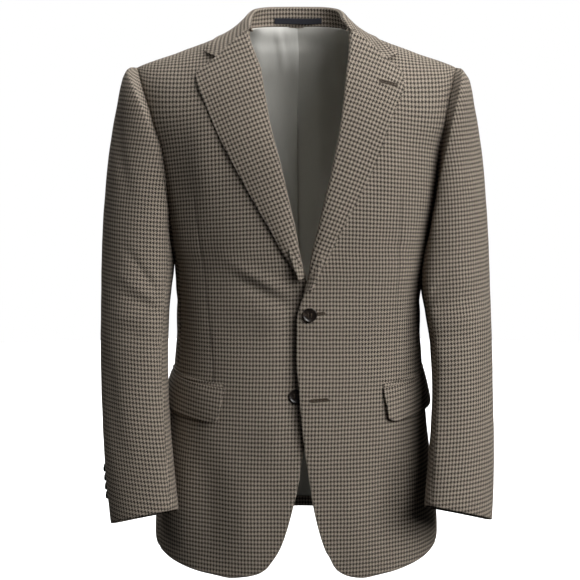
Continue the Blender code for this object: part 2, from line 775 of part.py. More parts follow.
def seat_frame(place, normal, upward=Vector((0, 0, 1))):
    """Frame on a surface: Z out of the cloth, Y up along it."""
    out = normal.normalized()
    side = upward.cross(out).normalized()
    up = out.cross(side)
    turned = Matrix((side, up, out)).transposed().to_4x4()
    return Matrix.Translation(place) @ turned


def make_front_buttons():
    """Top button over the left front, lower one on the right front under its edge."""
    x, z = TOP_BUTTON
    place, normal = front_place("left", body_turn(x, z), z)
    seat = seat_frame(swayed(place + normal * BUTTON_SEAT), normal)
    make_button("button_top", FRONT_BUTTON, 0.0040, seat)
    x, z = LOWER_BUTTON
    place, normal = front_place("right", body_turn(-x, z), z)
    place, normal = Vector((-place.x, place.y, place.z)), Vector((-normal.x, normal.y, normal.z))
    seat = seat_frame(swayed(place + normal * BUTTON_SEAT), normal)
    make_button("button_lower", FRONT_BUTTON, 0.0032, seat)


def make_cuff_buttons(side):
    """Four buttons up the outside of a cuff, each lapping the next."""
    _, rings = sleeve_rings(side)
    turns = sleeve_turns()
    low = min(range(len(turns)), key=lambda j: abs(turns[j] - CUFF_BUTTON_TURN[side]))
    cuff, above = rings[-1], rings[-2]
    along = (above[low] - cuff[low]).normalized()
    around = (cuff[low + 1] - cuff[low - 1]).normalized()
    out = around.cross(along).normalized()
    if out.x < 0:
        out = -out
    start = cuff[low].lerp(above[low], 1 - CUFF_BUTTON_LOW)
    for number in range(CUFF_BUTTONS):
        place = start + along * (0.012 + CUFF_BUTTON_STEP * number)
        tilt = Matrix.Rotation(math.radians(-CUFF_BUTTON_TILT), 4, "X")
        lift = CUFF_BUTTON * math.sin(math.radians(CUFF_BUTTON_TILT)) + 0.0003
        spot, normal, up = place + out * lift, out, along
        if side == "right":
            spot, normal, up = (Vector((-v.x, v.y, v.z)) for v in (spot, normal, up))
        frame = seat_frame(spot, normal, up) @ tilt
        make_button(f"cuff_button_{side}_{number + 1}", CUFF_BUTTON, 0.0028, frame)


for old in list(bpy.data.objects):
    bpy.data.objects.remove(old, do_unlink=True)
jacket = bpy.data.collections.new("tweed_hacking_jacket")
bpy.context.scene.collection.children.link(jacket)

for side_name in SIDES:
    make_body(side_name)
    make_lining(side_name)
    make_lapel(side_name)
    make_sleeve(side_name)
    make_flap(side_name)
    make_cuff_buttons(side_name)
collar_points, collar_normals = make_collar()
shell("collar", collar_points, scaled(collar_normals, -CLOTH))
make_loop()
make_front_buttons()
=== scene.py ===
"""Two-button hacking jacket in puppytooth tweed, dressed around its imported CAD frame.

Metres, +Z up, +X to the wearer's left, +Y to the wearer's back. Every cut piece of cloth is a
sheet of its own, fine enough for its rolls, seams and creases. Its UV map is its flat pattern in
metres, so the weave has one size all over the jacket.
"""

import math

import bpy
import numpy as np
from mathutils import Matrix, Vector


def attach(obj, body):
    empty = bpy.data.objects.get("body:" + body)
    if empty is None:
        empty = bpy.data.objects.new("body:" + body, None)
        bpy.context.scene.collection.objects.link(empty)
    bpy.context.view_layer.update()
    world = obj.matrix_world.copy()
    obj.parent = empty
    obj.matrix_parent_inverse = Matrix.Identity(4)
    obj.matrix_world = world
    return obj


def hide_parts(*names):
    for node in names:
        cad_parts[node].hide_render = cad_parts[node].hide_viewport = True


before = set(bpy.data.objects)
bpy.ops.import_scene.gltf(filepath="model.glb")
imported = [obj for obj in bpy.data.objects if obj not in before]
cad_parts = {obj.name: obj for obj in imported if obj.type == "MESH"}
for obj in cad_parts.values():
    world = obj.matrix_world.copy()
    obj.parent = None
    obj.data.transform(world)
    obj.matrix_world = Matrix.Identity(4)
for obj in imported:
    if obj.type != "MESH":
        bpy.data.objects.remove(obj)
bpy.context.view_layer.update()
bpy.ops.object.select_all(action="DESELECT")


# Camera: at chest height in front of the jacket, a little to the wearer's right of its middle
# and tipped down.
CAMERA_PLACE = (-0.0094, -2.2, -0.14)
CAMERA_TIP = 6.2413
camera_data = bpy.data.cameras.new("camera")
camera_data.lens = 92.793
camera_data.sensor_width = 36.0
camera = bpy.data.objects.new("camera", camera_data)
camera.location = CAMERA_PLACE
camera.rotation_euler = (math.radians(90 - CAMERA_TIP), 0, 0)
bpy.context.scene.collection.objects.link(camera)
bpy.context.scene.camera = camera
bpy.context.scene.view_settings.view_transform = "Standard"


# Studio: a white paper floor and surround, which only the camera sees, a very dim even fill, and
# soft lights: four on the wearer's left, three of them in front, one overhead, one behind and a
# weak one on the wearer's right.
FLOOR_Z = -0.875
FILL = 0.02
CHEST, WAIST = (0.03, 0, -0.34), (0, 0, -0.40)
LIGHTS = (
    # name, place, aim, width and height, watts
    ("key_light", (2.9, -1.95, 0.5), CHEST, 1.2, 48),
    ("left_light", (2.0, -2.2, 1.3), CHEST, 1.0, 29),
    ("front_light", (1.4, -2.6, 1.1), CHEST, 1.2, 33),
    ("upper_light", (1.2, -1.0, 2.4), CHEST, 1.2, 11),
    ("top_light", (0.3, 0.8, 2.6), CHEST, 1.4, 68),
    ("right_light", (-2.6, -0.6, 0.8), CHEST, 1.2, 9),
    ("back_light", (-1.1, 2.6, 0.9), WAIST, 1.4, 38),
)


def paper(name, colour, glow):
    """White stage paper, seen by the camera alone so that it throws no light on the cloth."""
    piece = bpy.context.object
    piece.name = name
    material = bpy.data.materials.new(name)
    material.use_nodes = True
    shader = material.node_tree.nodes["Principled BSDF"]
    shader.inputs["Base Color"].default_value = (*colour, 1)
    shader.inputs["Roughness"].default_value = 1.0
    shader.inputs["Emission Color"].default_value = (1, 1, 1, 1)
    shader.inputs["Emission Strength"].default_value = glow
    piece.data.materials.append(material)
    for ray in ("diffuse", "glossy", "transmission", "shadow"):
        setattr(piece, f"visible_{ray}", False)
    piece.select_set(False)


def soft_light(name, place, aim, size, watts):
    """Square soft light at a place, turned to an aim."""
    data = bpy.data.lights.new(name, "AREA")
    data.size = size
    data.energy = watts
    light = bpy.data.objects.new(name, data)
    light.location = place
    light.rotation_euler = (Vector(aim) - Vector(place)).to_track_quat("-Z", "Y").to_euler()
    bpy.context.scene.collection.objects.link(light)


bpy.ops.mesh.primitive_circle_add(vertices=96, radius=3.0, fill_type="NGON",
                                  location=(0, 0, FLOOR_Z))
paper("floor", (0.9, 0.9, 0.9), 0.95)
bpy.ops.mesh.primitive_uv_sphere_add(segments=48, ring_count=24, radius=9.0, location=(0, 0, 0))
paper("surround", (0.0, 0.0, 0.0), 1.0)
world = bpy.data.worlds.new("fill")
world.use_nodes = True
world.node_tree.nodes["Background"].inputs["Color"].default_value = (1, 1, 1, 1)
world.node_tree.nodes["Background"].inputs["Strength"].default_value = FILL
bpy.context.scene.world = world
for light in LIGHTS:
    soft_light(*light)


# Fronts: the two forward panels, of tweed cut on the straight grain, each with a dart from the
# chest to the pocket and a facing turned in along its edge. The wearer's left laps over the
# right one. Each is sewn to its side panel, sleeve and back, and pressed in at those seams.
SIDES = ("left", "right")
HAND = {"left": 1, "right": -1}
CLOTH = 0.0022
SEAM_LAP = 0.0002
SEAM_DIP = 0.0009
SEAM_REACH = 0.0026
PUCKER = 0.35
EDGE_DIP = 0.0006
EDGE_REACH = 0.004
FRONT_EDGE_REACH = 0.003
HEM_CLOSE = (0.002, 0.005, 0.009)
ARMHOLE_ROWS = 62
UNEVEN = 0.00045

NECK_X = 0.078
NECK_Z = 0.0006
SHOULDER_X = 0.2335
SHOULDER_Z = -0.0545
SHOULDER_SLOPE = (NECK_Z - SHOULDER_Z) / (SHOULDER_X - NECK_X)
SHOULDER_ROLL = 0.10
SQUARENESS = 2.3
BODY = (
    # height, half width, depth in front, depth behind
    (-0.800, 0.2130, 0.127, 0.137),
    (-0.720, 0.2105, 0.128, 0.140),
    (-0.640, 0.2015, 0.129, 0.141),
    (-0.570, 0.1925, 0.128, 0.134),
    (-0.500, 0.1845, 0.123, 0.121),
    (-0.430, 0.1800, 0.119, 0.112),
    (-0.370, 0.1805, 0.121, 0.111),
    (-0.310, 0.1860, 0.128, 0.116),
    (-0.260, 0.1930, 0.132, 0.123),
    (-0.210, 0.2020, 0.132, 0.129),
    (-0.170, 0.2120, 0.127, 0.131),
    (-0.134, 0.2250, 0.117, 0.128),
    (-0.105, 0.2300, 0.105, 0.121),
    (-0.070, 0.2345, 0.090, 0.110),
    (-0.050, 0.2335, 0.080, 0.103),
    (0.0300, 0.2335, 0.050, 0.090),
)
HALF_WIDTH, FRONT_DEPTH, BACK_DEPTH = 1, 2, 3
HEM = (
    # turn from centre front in degrees, height of the left hem, height of the right hem
    (6.60, -0.7300, -0.7540),
    (9.70, -0.7470, -0.7690),
    (12.5, -0.7680, -0.7755),
    (18.0, -0.7795, -0.7805),
    (23.5, -0.7825, -0.7825),
    (30.0, -0.7800, -0.7800),
    (38.5, -0.7768, -0.7772),
    (52.0, -0.7690, -0.7698),
    (64.0, -0.7605, -0.7615),
    (72.0, -0.7540, -0.7555),
    (82.0, -0.7475, -0.7485),
    (106., -0.7435, -0.7435),
    (180., -0.7420, -0.7420),
)
EDGES = (
    # height, left front's edge, right front's edge, each measured to its own side
    (0.0006, 0.0780, 0.0780),
    (-0.040, 0.0715, 0.0532),
    (-0.090, 0.0656, 0.0442),
    (-0.140, 0.0592, 0.0352),
    (-0.190, 0.0494, 0.0222),
    (-0.240, 0.0378, 0.0105),
    (-0.290, 0.0258, -0.0005),
    (-0.340, 0.0140, -0.0082),
    (-0.352, 0.0118, -0.0100),
    (-0.371, 0.0070, -0.0200),
    (-0.412, -0.0030, -0.0300),
    (-0.464, -0.0034, -0.0300),
    (-0.513, 0.0010, -0.0260),
    (-0.589, 0.0098, -0.0105),
    (-0.645, 0.0184, -0.0025),
    (-0.675, 0.0232, 0.0042),
    (-0.712, 0.0316, 0.0140),
    (-0.738, 0.0400, 0.0235),
    (-0.770, 0.0550, 0.0440),
)
SIDE_COLUMN = {"left": 1, "right": 2}
LAPEL_FOOT = {"left": -0.365, "right": -0.350}
LAP = (
    # height, how far the left front stands over the right one at the centre
    (-0.800, 0.0045),
    (-0.600, 0.0048),
    (-0.518, 0.0068),
    (-0.450, 0.0046),
    (-0.340, 0.0042),
    (-0.200, 0.0030),
    (-0.100, 0.0000),
)
LAP_REACH = 0.085
UNDERLAP = (
    # height, how far the right front is pressed in under the left one at the centre
    (-0.700, 0.0000),
    (-0.620, 0.0020),
    (-0.540, 0.0055),
    (-0.400, 0.0065),
    (-0.350, 0.0040),
    (-0.310, 0.0000),
)
UNDERLAP_REACH = 0.042
SWAY = (
    # height, how far the waist sits to the wearer's left
    (-0.620, 0.0000),
    (-0.540, 0.0015),
    (-0.460, 0.0030),
    (-0.360, 0.0030),
    (-0.310, 0.0000),
)
ARMHOLE_Z = -0.1775
ARMHOLE_HALF = 0.1230
ARMHOLE_BACK_TURN = 20.0
ARMHOLE_FULLNESS = 0.7
ARMHOLE_FRONT = (
    # degrees round the front of the armhole from its top, turn of the left seam, of the right
    (0.000, 90.0, 90.0),
    (12.00, 82.9, 82.0),
    (30.00, 76.0, 74.6),
    (50.00, 72.2, 69.0),
    (66.00, 70.4, 64.9),
    (80.00, 73.5, 64.2),
    (95.00, 78.0, 65.6),
    (108.0, 80.0, 67.4),
    (120.0, 79.5, 69.8),
    (132.0, 77.5, 72.1),
    (150.0, 79.5, 76.5),
    (168.0, 84.0, 83.0),
    (180.0, 90.0, 90.0),
)
SIDE_SEAM_AT = 132.0
CHEST_SWELL = (
    # height, how much fuller the left side is than the right
    (-0.385, 0.0000),
    (-0.360, 0.0015),
    (-0.330, 0.0055),
    (-0.300, 0.0075),
    (-0.245, 0.0075),
    (-0.210, 0.0050),
    (-0.170, 0.0010),
    (-0.140, 0.0000),
)

LAPEL_LIFT = 0.0031
ROLL_UNDER = 2 * CLOTH + 0.0005
FACING_WIDTH = 0.085
HEM_TURN_UP = 0.030
SHOULDER_GRAIN = 1.7
SHOULDER_GRAIN_Z = -0.10

GRAIN = (
    # height, how steeply the checks climb from centre front to the side, how much more they do
    # so further out, how much wider they lie further out
    (-0.780, 0.000, 2.2, 0.0),
    (-0.600, -0.010, 2.2, 0.0),
    (-0.460, -0.020, 0.8, 0.3),
    (-0.340, -0.040, 0.0, 1.0),
    (-0.250, -0.085, 0.0, 1.9),
    (-0.120, -0.105, 0.0, 1.9),
    (0.0000, -0.100, 0.0, 1.0),
)
CLIMB, FAN, WIDENING = 1, 2, 3
DARTS = {
    # side: chest end across and up, pocket end across and up
    "left": (0.1457, -0.236, 0.1407, -0.507),
    "right": (0.1462, -0.236, 0.1209, -0.500),
}
DART_WIDTH = 0.0022
DART_PAST_END = 0.03
DART_HOLLOW = (0.0032, -0.0007)
CREASE_CORE = 0.22
CREASE_FADE = 0.20
FRONT_CREASES = {
    # from across and up, to across and up, half width, height
    "left": (
        (0.030, -0.405, 0.110, -0.345, 0.0110, -0.0016),
        (0.026, -0.420, 0.120, -0.400, 0.0130, 0.0011),
        (0.024, -0.432, 0.100, -0.470, 0.0120, -0.0009),
        (0.165, -0.120, 0.152, -0.280, 0.0180, -0.0022),
        (0.120, -0.080, 0.140, -0.230, 0.0220, 0.0022),
        (0.172, -0.330, 0.110, -0.300, 0.0120, -0.0014),
        (0.075, -0.600, 0.082, -0.790, 0.0220, 0.0026),
        (0.125, -0.590, 0.135, -0.780, 0.0200, -0.0026),
        (0.165, -0.580, 0.175, -0.770, 0.0180, 0.0020),
    ),
    "right": (
        (0.096, -0.330, 0.008, -0.378, 0.0085, 0.0034),
        (0.090, -0.352, 0.004, -0.396, 0.0100, -0.0034),
        (0.110, -0.392, 0.010, -0.412, 0.0130, 0.0014),
        (0.100, -0.450, 0.010, -0.430, 0.0120, -0.0010),
        (0.166, -0.120, 0.150, -0.290, 0.0180, -0.0022),
        (0.118, -0.080, 0.138, -0.230, 0.0220, 0.0022),
        (0.172, -0.350, 0.105, -0.310, 0.0120, -0.0015),
        (0.070, -0.600, 0.078, -0.790, 0.0220, 0.0024),
        (0.120, -0.590, 0.130, -0.780, 0.0200, -0.0026),
        (0.160, -0.580, 0.172, -0.770, 0.0180, 0.0020),
    ),
}

CHECK_WIDTH = 0.0047
CHECK_HEIGHT = 0.0061
THREADS = 8
FAWN = (0.400, 0.340, 0.275)
UMBER = (0.033, 0.026, 0.020)
SATIN_GREY = (0.80, 0.79, 0.74)


def mix(a, b, share):
    """A value between two others, or past them."""
    return a + (b - a) * share


def eased(share):
    """Share from 0 to 1 that starts and stops slowly."""
    share = np.clip(share, 0.0, 1.0)
    return share * share * (3 - 2 * share)


def unit(vectors):
    """Directions, each one long."""
    return vectors / np.maximum(np.linalg.norm(vectors, axis=-1, keepdims=True), 1e-9)


def power(value, exponent):
    """A value raised by its size, its sign kept."""
    return np.sign(value) * np.abs(value) ** exponent


def curve(keys, values, at, taut=True):
    """Values on a smooth line through their keys, which doesn't overshoot them if it is taut."""
    keys, values = np.asarray(keys, float), np.asarray(values, float)
    shape, each = np.shape(at), (-1,) + (1,) * (values.ndim - 1)
    at = np.clip(np.ravel(at), keys[0], keys[-1])
    steps = np.diff(values, axis=0) / np.diff(keys).reshape(each)
    before = np.concatenate((steps[:1], steps))
    after = np.concatenate((steps, steps[-1:]))
    slopes = (before + after) / 2
    if taut:
        same_way = before * after > 0
        slopes = np.where(same_way, before * after / np.where(same_way, slopes, 1), 0)
    low = np.clip(np.searchsorted(keys, at, side="right") - 1, 0, len(keys) - 2)
    width = np.diff(keys)[low].reshape(each)
    s = (at - keys[low]).reshape(each) / width
    lead = s * (1 - s) ** 2 * slopes[low] - s * s * (1 - s) * slopes[low + 1]
    line = values[low] + (values[low + 1] - values[low]) * eased(s) + width * lead
    return line.reshape(shape + values.shape[1:])


def smooth(table, column, at):
    """One column of a table of sizes, at any height or turn between its rows."""
    rows = np.array(sorted(table))
    return curve(rows[:, 0], rows[:, column], at)


def shoulder_z(x):
    """Height of the shoulder line over a place on one side of the body."""
    return NECK_Z - SHOULDER_SLOPE * (np.abs(x) - NECK_X)


def form(turn, z):
    """Outer face of the worn cloth at a turn from centre front, in degrees, and a height."""
    angle = np.radians(turn)
    x = smooth(BODY, HALF_WIDTH, z) * power(np.sin(angle), 2 / SQUARENESS)
    front = np.cos(angle) >= 0
    depth = np.where(front, -smooth(BODY, FRONT_DEPTH, z), smooth(BODY, BACK_DEPTH, z))
    below = np.clip((shoulder_z(x) - z) / SHOULDER_ROLL, 0.0, 1.0)
    closing = np.sqrt(1 - (1 - below) ** 2)
    y = depth * np.abs(np.cos(angle)) ** (2 / SQUARENESS) * closing
    return np.stack((x, y, z + 0 * x), -1)


def outward(turn, z):
    """Direction out of the worn form, straight up off the slope along the shoulder line."""
    step, turn_step = 0.0006, 0.4
    across = form(turn + turn_step, z) - form(turn - turn_step, z)
    up = form(turn, z + step) - form(turn, z - step)
    on_top = shoulder_z(form(turn, z)[..., 0]) - z < step
    return unit(np.where(on_top[..., None], (SHOULDER_SLOPE, 0, 1), np.cross(across, up)))


def turn_at(x, z):
    """Turn on the front of the form at which it is x wide, at a height."""
    share = np.clip(x / smooth(BODY, HALF_WIDTH, z), -1, 1)
    return np.degrees(np.arcsin(power(share, SQUARENESS / 2)))


def armhole(side, around):
    """Turn and height of the armhole seam at an angle from its top, positive to the front."""
    angle = np.radians(around)
    behind = 90 + ARMHOLE_BACK_TURN * np.abs(np.sin(angle)) ** ARMHOLE_FULLNESS
    before = smooth(ARMHOLE_FRONT, SIDE_COLUMN[side], np.abs(around))
    return np.where(around >= 0, before, behind), ARMHOLE_Z + ARMHOLE_HALF * np.cos(angle)


def fuller(side, places):
    """The left side of the chest, set out a little under the arm."""
    if side == "right":
        return places
    x, z = places[..., 0], places[..., 2]
    share = np.clip(x / smooth(BODY, HALF_WIDTH, z), 0, 1.1)
    swell = smooth(CHEST_SWELL, 1, z) * share ** 2
    return places + np.stack((swell, 0 * z, 0 * z), -1)


SIDE_SEAM_Z = float(armhole("left", SIDE_SEAM_AT)[1])


def hem_z(side, turn):
    """Height of the hem at a turn."""
    return smooth(HEM, SIDE_COLUMN[side], turn)


def shares(count, close=(0.004, 0.010, 0.018)):
    """Shares from 0 to 1 in even steps, with a few more close to each end for the seams there."""
    even = np.linspace(0, 1, count + 1)
    even = even[(even > close[-1] * 1.3) & (even < 1 - close[-1] * 1.3)]
    return np.concatenate(((0.0,), close, even, 1 - np.array(close)[::-1], (1.0,)))


def roll_radius(side, z):
    """Radius of the roll at a lapel's inner edge, which closes to a plain edge at the break."""
    opened = eased((z - LAPEL_FOOT[side]) / 0.10)
    return mix(0.0013, (LAPEL_LIFT + ROLL_UNDER) / 2, opened)


def front_edge(side, z):
    """Across of the front's own edge: the buttoned edge, and inside the roll above the break."""
    tucked = roll_radius(side, z) * 1.15 * eased((z - LAPEL_FOOT[side] + 0.012) / 0.03)
    return smooth(EDGES, SIDE_COLUMN[side], z) + tucked


def front_cut(side):
    """Turns and heights over a front: rows from hem to shoulder, columns from its edge out."""
    across = shares(52)
    up = shares(116, HEM_CLOSE)[:, None]
    edge_z = mix(hem_z(side, 8.0), SIDE_SEAM_Z, up)
    for _ in range(14):  # the edge's height and its turn depend on each other, and settle
        edge_turn = turn_at(front_edge(side, edge_z), edge_z)
        edge_z = mix(hem_z(side, edge_turn), SIDE_SEAM_Z, up)
    turn = mix(edge_turn, armhole(side, SIDE_SEAM_AT)[0], across)
    z = mix(hem_z(side, turn), SIDE_SEAM_Z, up)
    out_turn, out_z = armhole(side, SIDE_SEAM_AT * (1 - np.linspace(0, 1, ARMHOLE_ROWS)[1:, None]))
    up = (out_z - SIDE_SEAM_Z) / (SHOULDER_Z - SIDE_SEAM_Z)
    edge_z = mix(SIDE_SEAM_Z, NECK_Z, up)
    edge_turn = turn_at(front_edge(side, edge_z), edge_z)
    top_turn = mix(turn_at(NECK_X, NECK_Z), 90.0, across)
    top_z = shoulder_z(SHOULDER_X * power(np.sin(np.radians(top_turn)), 2 / SQUARENESS))
    turn = np.concatenate((turn, mix(edge_turn, out_turn, across)))
    return turn, np.concatenate((z, mix(SIDE_SEAM_Z, top_z, up)))


def lap_lift(side, x, z):
    """How far the left front stands off the form, or the right one is pressed in under it."""
    if side == "right":
        return -smooth(UNDERLAP, 1, z) * eased(1 - x / UNDERLAP_REACH)
    return smooth(LAP, 1, z) * eased(1 - x / LAP_REACH)


def front_face(side, turn, z):
    """Outer face and outward direction of a front, on the positive side."""
    place, out = form(turn, z), outward(turn, z)
    return place + out * lap_lift(side, place[..., 0], z)[..., None], out


def flat_pattern(turn, z, lean=1.0):
    """Where a place on the form lies on the flat cloth, whose checks lean by their height."""
    steps = np.linspace(0, 1, 25).reshape((-1,) + (1,) * np.ndim(turn))
    angle = np.radians(turn * steps)
    half, depth = smooth(BODY, HALF_WIDTH, z), smooth(BODY, FRONT_DEPTH, z)
    round_x = half * power(np.sin(angle), 2 / SQUARENESS)
    round_y = depth * power(np.cos(angle), 2 / SQUARENESS)
    girth = np.hypot(np.diff(round_x, axis=0), np.diff(round_y, axis=0)).sum(axis=0)
    girth = girth * np.sign(turn)
    top = shoulder_z(round_x[-1])
    over = np.arccos(np.clip(1 - (top - z) / SHOULDER_ROLL, 0, 1))
    radius = (SHOULDER_ROLL + np.abs(round_y[-1])) / 2
    rise = np.where(top - z < SHOULDER_ROLL, top - SHOULDER_ROLL + radius * (np.pi / 2 - over), z)
    rise = rise + SHOULDER_GRAIN * np.maximum(0, z - SHOULDER_GRAIN_Z) ** 2
    climb = smooth(GRAIN, CLIMB, z) * girth + smooth(GRAIN, FAN, z) * girth ** 3 / 3
    across = girth * (1 - smooth(GRAIN, WIDENING, z) * girth ** 2)
    return np.stack((across, rise - lean * climb), -1)


def laid_flat(places, out, grain):
    """Flat pattern of a curved grid of cloth, whose steps along and off the grain fit best."""
    waves, stiffness = [], []
    for count in places.shape[:2]:
        order = np.arange(count)
        wave = np.cos(np.pi * order[:, None] * (order + 0.5) / count)
        waves.append(wave / np.linalg.norm(wave, axis=1, keepdims=True))
        stiffness.append(2 - 2 * np.cos(np.pi * order / count))
    stiff = stiffness[0][:, None] + stiffness[1]
    stiff[0, 0] = 1
    flat = []
    for way in (grain, np.cross(grain, out)):
        across = np.sum(np.diff(places, axis=1) * (way[:, 1:] + way[:, :-1]) / 2, -1)
        down = np.sum(np.diff(places, axis=0) * (way[1:] + way[:-1]) / 2, -1)
        pull = np.pad(across, ((0, 0), (1, 0))) - np.pad(across, ((0, 0), (0, 1)))
        pull += np.pad(down, ((1, 0), (0, 0))) - np.pad(down, ((0, 1), (0, 0)))
        flat.append(waves[0].T @ (waves[0] @ pull @ waves[1].T / stiff) @ waves[1])
    return np.stack(flat, -1)


def creased(across, up, creases):
    """How far soft creases stand out, or in where they are troughs, over places on a piece."""
    total = np.zeros(np.broadcast(across, up).shape)
    for from_across, from_up, to_across, to_up, width, height in creases:
        run = np.array((to_across - from_across, to_up - from_up))
        length = np.hypot(*run)
        along = ((across - from_across) * run[0] + (up - from_up) * run[1]) / length ** 2
        aside = ((across - from_across) * run[1] - (up - from_up) * run[0]) / length
        past_core = np.maximum(np.abs(along - 0.5) - CREASE_CORE, 0)
        ends = np.exp(-(past_core / CREASE_FADE) ** 2)
        total += height * np.exp(-(aside / width) ** 2) * ends
    return total


def uneven(across, up, height):
    """Slow unevenness of worn cloth, a few waves laid over one another."""
    waves = np.sin(across / 0.021 + 1.3) * np.sin(up / 0.034 + 0.4)
    waves += 0.6 * np.sin(across / 0.013 - up / 0.027 + 2.1)
    waves += 0.35 * np.sin(across / 0.008 + up / 0.011 + 0.7) * np.sin(up / 0.019 + 1.9)
    return height * waves


def from_border(places, border):
    """Distance over the cloth of every place in a grid from one of its borders."""
    axis = 0 if border.endswith("row") else 1
    steps = np.linalg.norm(np.diff(places, axis=axis), axis=-1)
    start = np.zeros_like(np.take(steps, [0], axis=axis))
    walked = np.concatenate((start, np.cumsum(steps, axis=axis)), axis=axis)
    if border.startswith("last"):
        walked = np.take(walked, [-1], axis=axis) - walked
    return walked


def pressed_edge(places, border, reach=EDGE_REACH):
    """How much thinner a turned edge is pressed than the cloth behind it."""
    return EDGE_DIP * np.exp(-(from_border(places, border) / reach) ** 2)


def seamed(places, out, borders, along):
    """Press the cloth in at its sewn borders, unevenly, and carry it a little over the seam."""
    places = places.copy()
    for border in borders:
        away = from_border(places, border)
        pucker = 1 + PUCKER * np.sin(along / 0.0045) * np.sin(along / 0.017 + 0.8)
        pressed = SEAM_DIP * pucker * np.exp(-(away / SEAM_REACH) ** 2)
        places -= out * pressed[..., None]
    for border in borders:
        edge, inner = {"first_row": (np.s_[0], np.s_[1]), "last_row": (np.s_[-1], np.s_[-2]),
                       "first_column": (np.s_[:, 0], np.s_[:, 1]),
                       "last_column": (np.s_[:, -1], np.s_[:, -2])}[border]
        places[edge] += unit(places[edge] - places[inner]) * SEAM_LAP
    return places


def to_side(side, places, out, flat):
    """Turn a grid made on the wearer's left over to its own side, and set it on the hips."""
    hand = np.array((HAND[side], 1, 1))
    places, out, flat = fuller(side, places) * hand, out * hand, flat * hand[:2]
    places[..., 0] += smooth(SWAY, 1, places[..., 2])
    return places, out, flat


def sew(name, places, out, flat, finish, wall=CLOTH, turned_in=None):
    """Closed sheet of cloth on a grid of places. Its wall is on the side away from `out`.

    The finish is the outer and inner cloth; where the sheet is turned in, both are the outer.
    """
    rows, columns = places.shape[:2]
    index = np.arange(rows * columns).reshape(rows, columns)
    quads = np.stack((index[:-1, :-1], index[:-1, 1:], index[1:, 1:], index[1:, :-1]), -1)
    facing = np.cross(np.diff(places, axis=1)[:-1], np.diff(places, axis=0)[:, :-1])
    if np.sum(facing * out[:-1, :-1]) < 0:
        quads = quads[..., ::-1]
    quads = quads.reshape(-1, 4)
    mesh = bpy.data.meshes.new(name)
    mesh.from_pydata(places.reshape(-1, 3).tolist(), [], quads.tolist())
    pattern = mesh.uv_layers.new(name="flat_cloth")
    pattern.data.foreach_set("uv", flat.reshape(-1, 2)[quads.ravel()].ravel())
    mesh.polygons.foreach_set("use_smooth", np.ones(len(quads), bool))
    if turned_in is not None:
        mesh.polygons.foreach_set("material_index", 2 * turned_in[:-1, :-1].ravel().astype(int))
    for material in (*finish, finish[0], finish[0]):
        mesh.materials.append(material)
    piece = bpy.data.objects.new(name, mesh)
    bpy.context.scene.collection.objects.link(piece)
    bpy.context.view_layer.objects.active = piece
    doubling = piece.modifiers.new("wall", "SOLIDIFY")
    doubling.thickness = wall
    doubling.offset = -1
    doubling.material_offset = 1
    bpy.ops.object.modifier_apply(modifier="wall")
    return piece


class Wire:
    """One output in a material's nodes. Arithmetic on it adds Math nodes."""

    def __init__(self, bench, socket):
        self.bench = bench
        self.socket = socket

    def math(self, operation, *others):
        return self.bench.math(operation, self, *others)

    def __add__(self, other):
        return self.math("ADD", other)

    def __sub__(self, other):
        return self.math("SUBTRACT", other)

    def __rsub__(self, other):
        return self.bench.math("SUBTRACT", other, self)

    def __mul__(self, other):
        return self.math("MULTIPLY", other)

    def __mod__(self, other):
        return self.math("FLOORED_MODULO", other)

    def __lt__(self, other):
        return self.math("LESS_THAN", other)

    __radd__ = __add__
    __rmul__ = __mul__

    def kept_in(self, low, high):
        return self.math("MAXIMUM", low).math("MINIMUM", high)


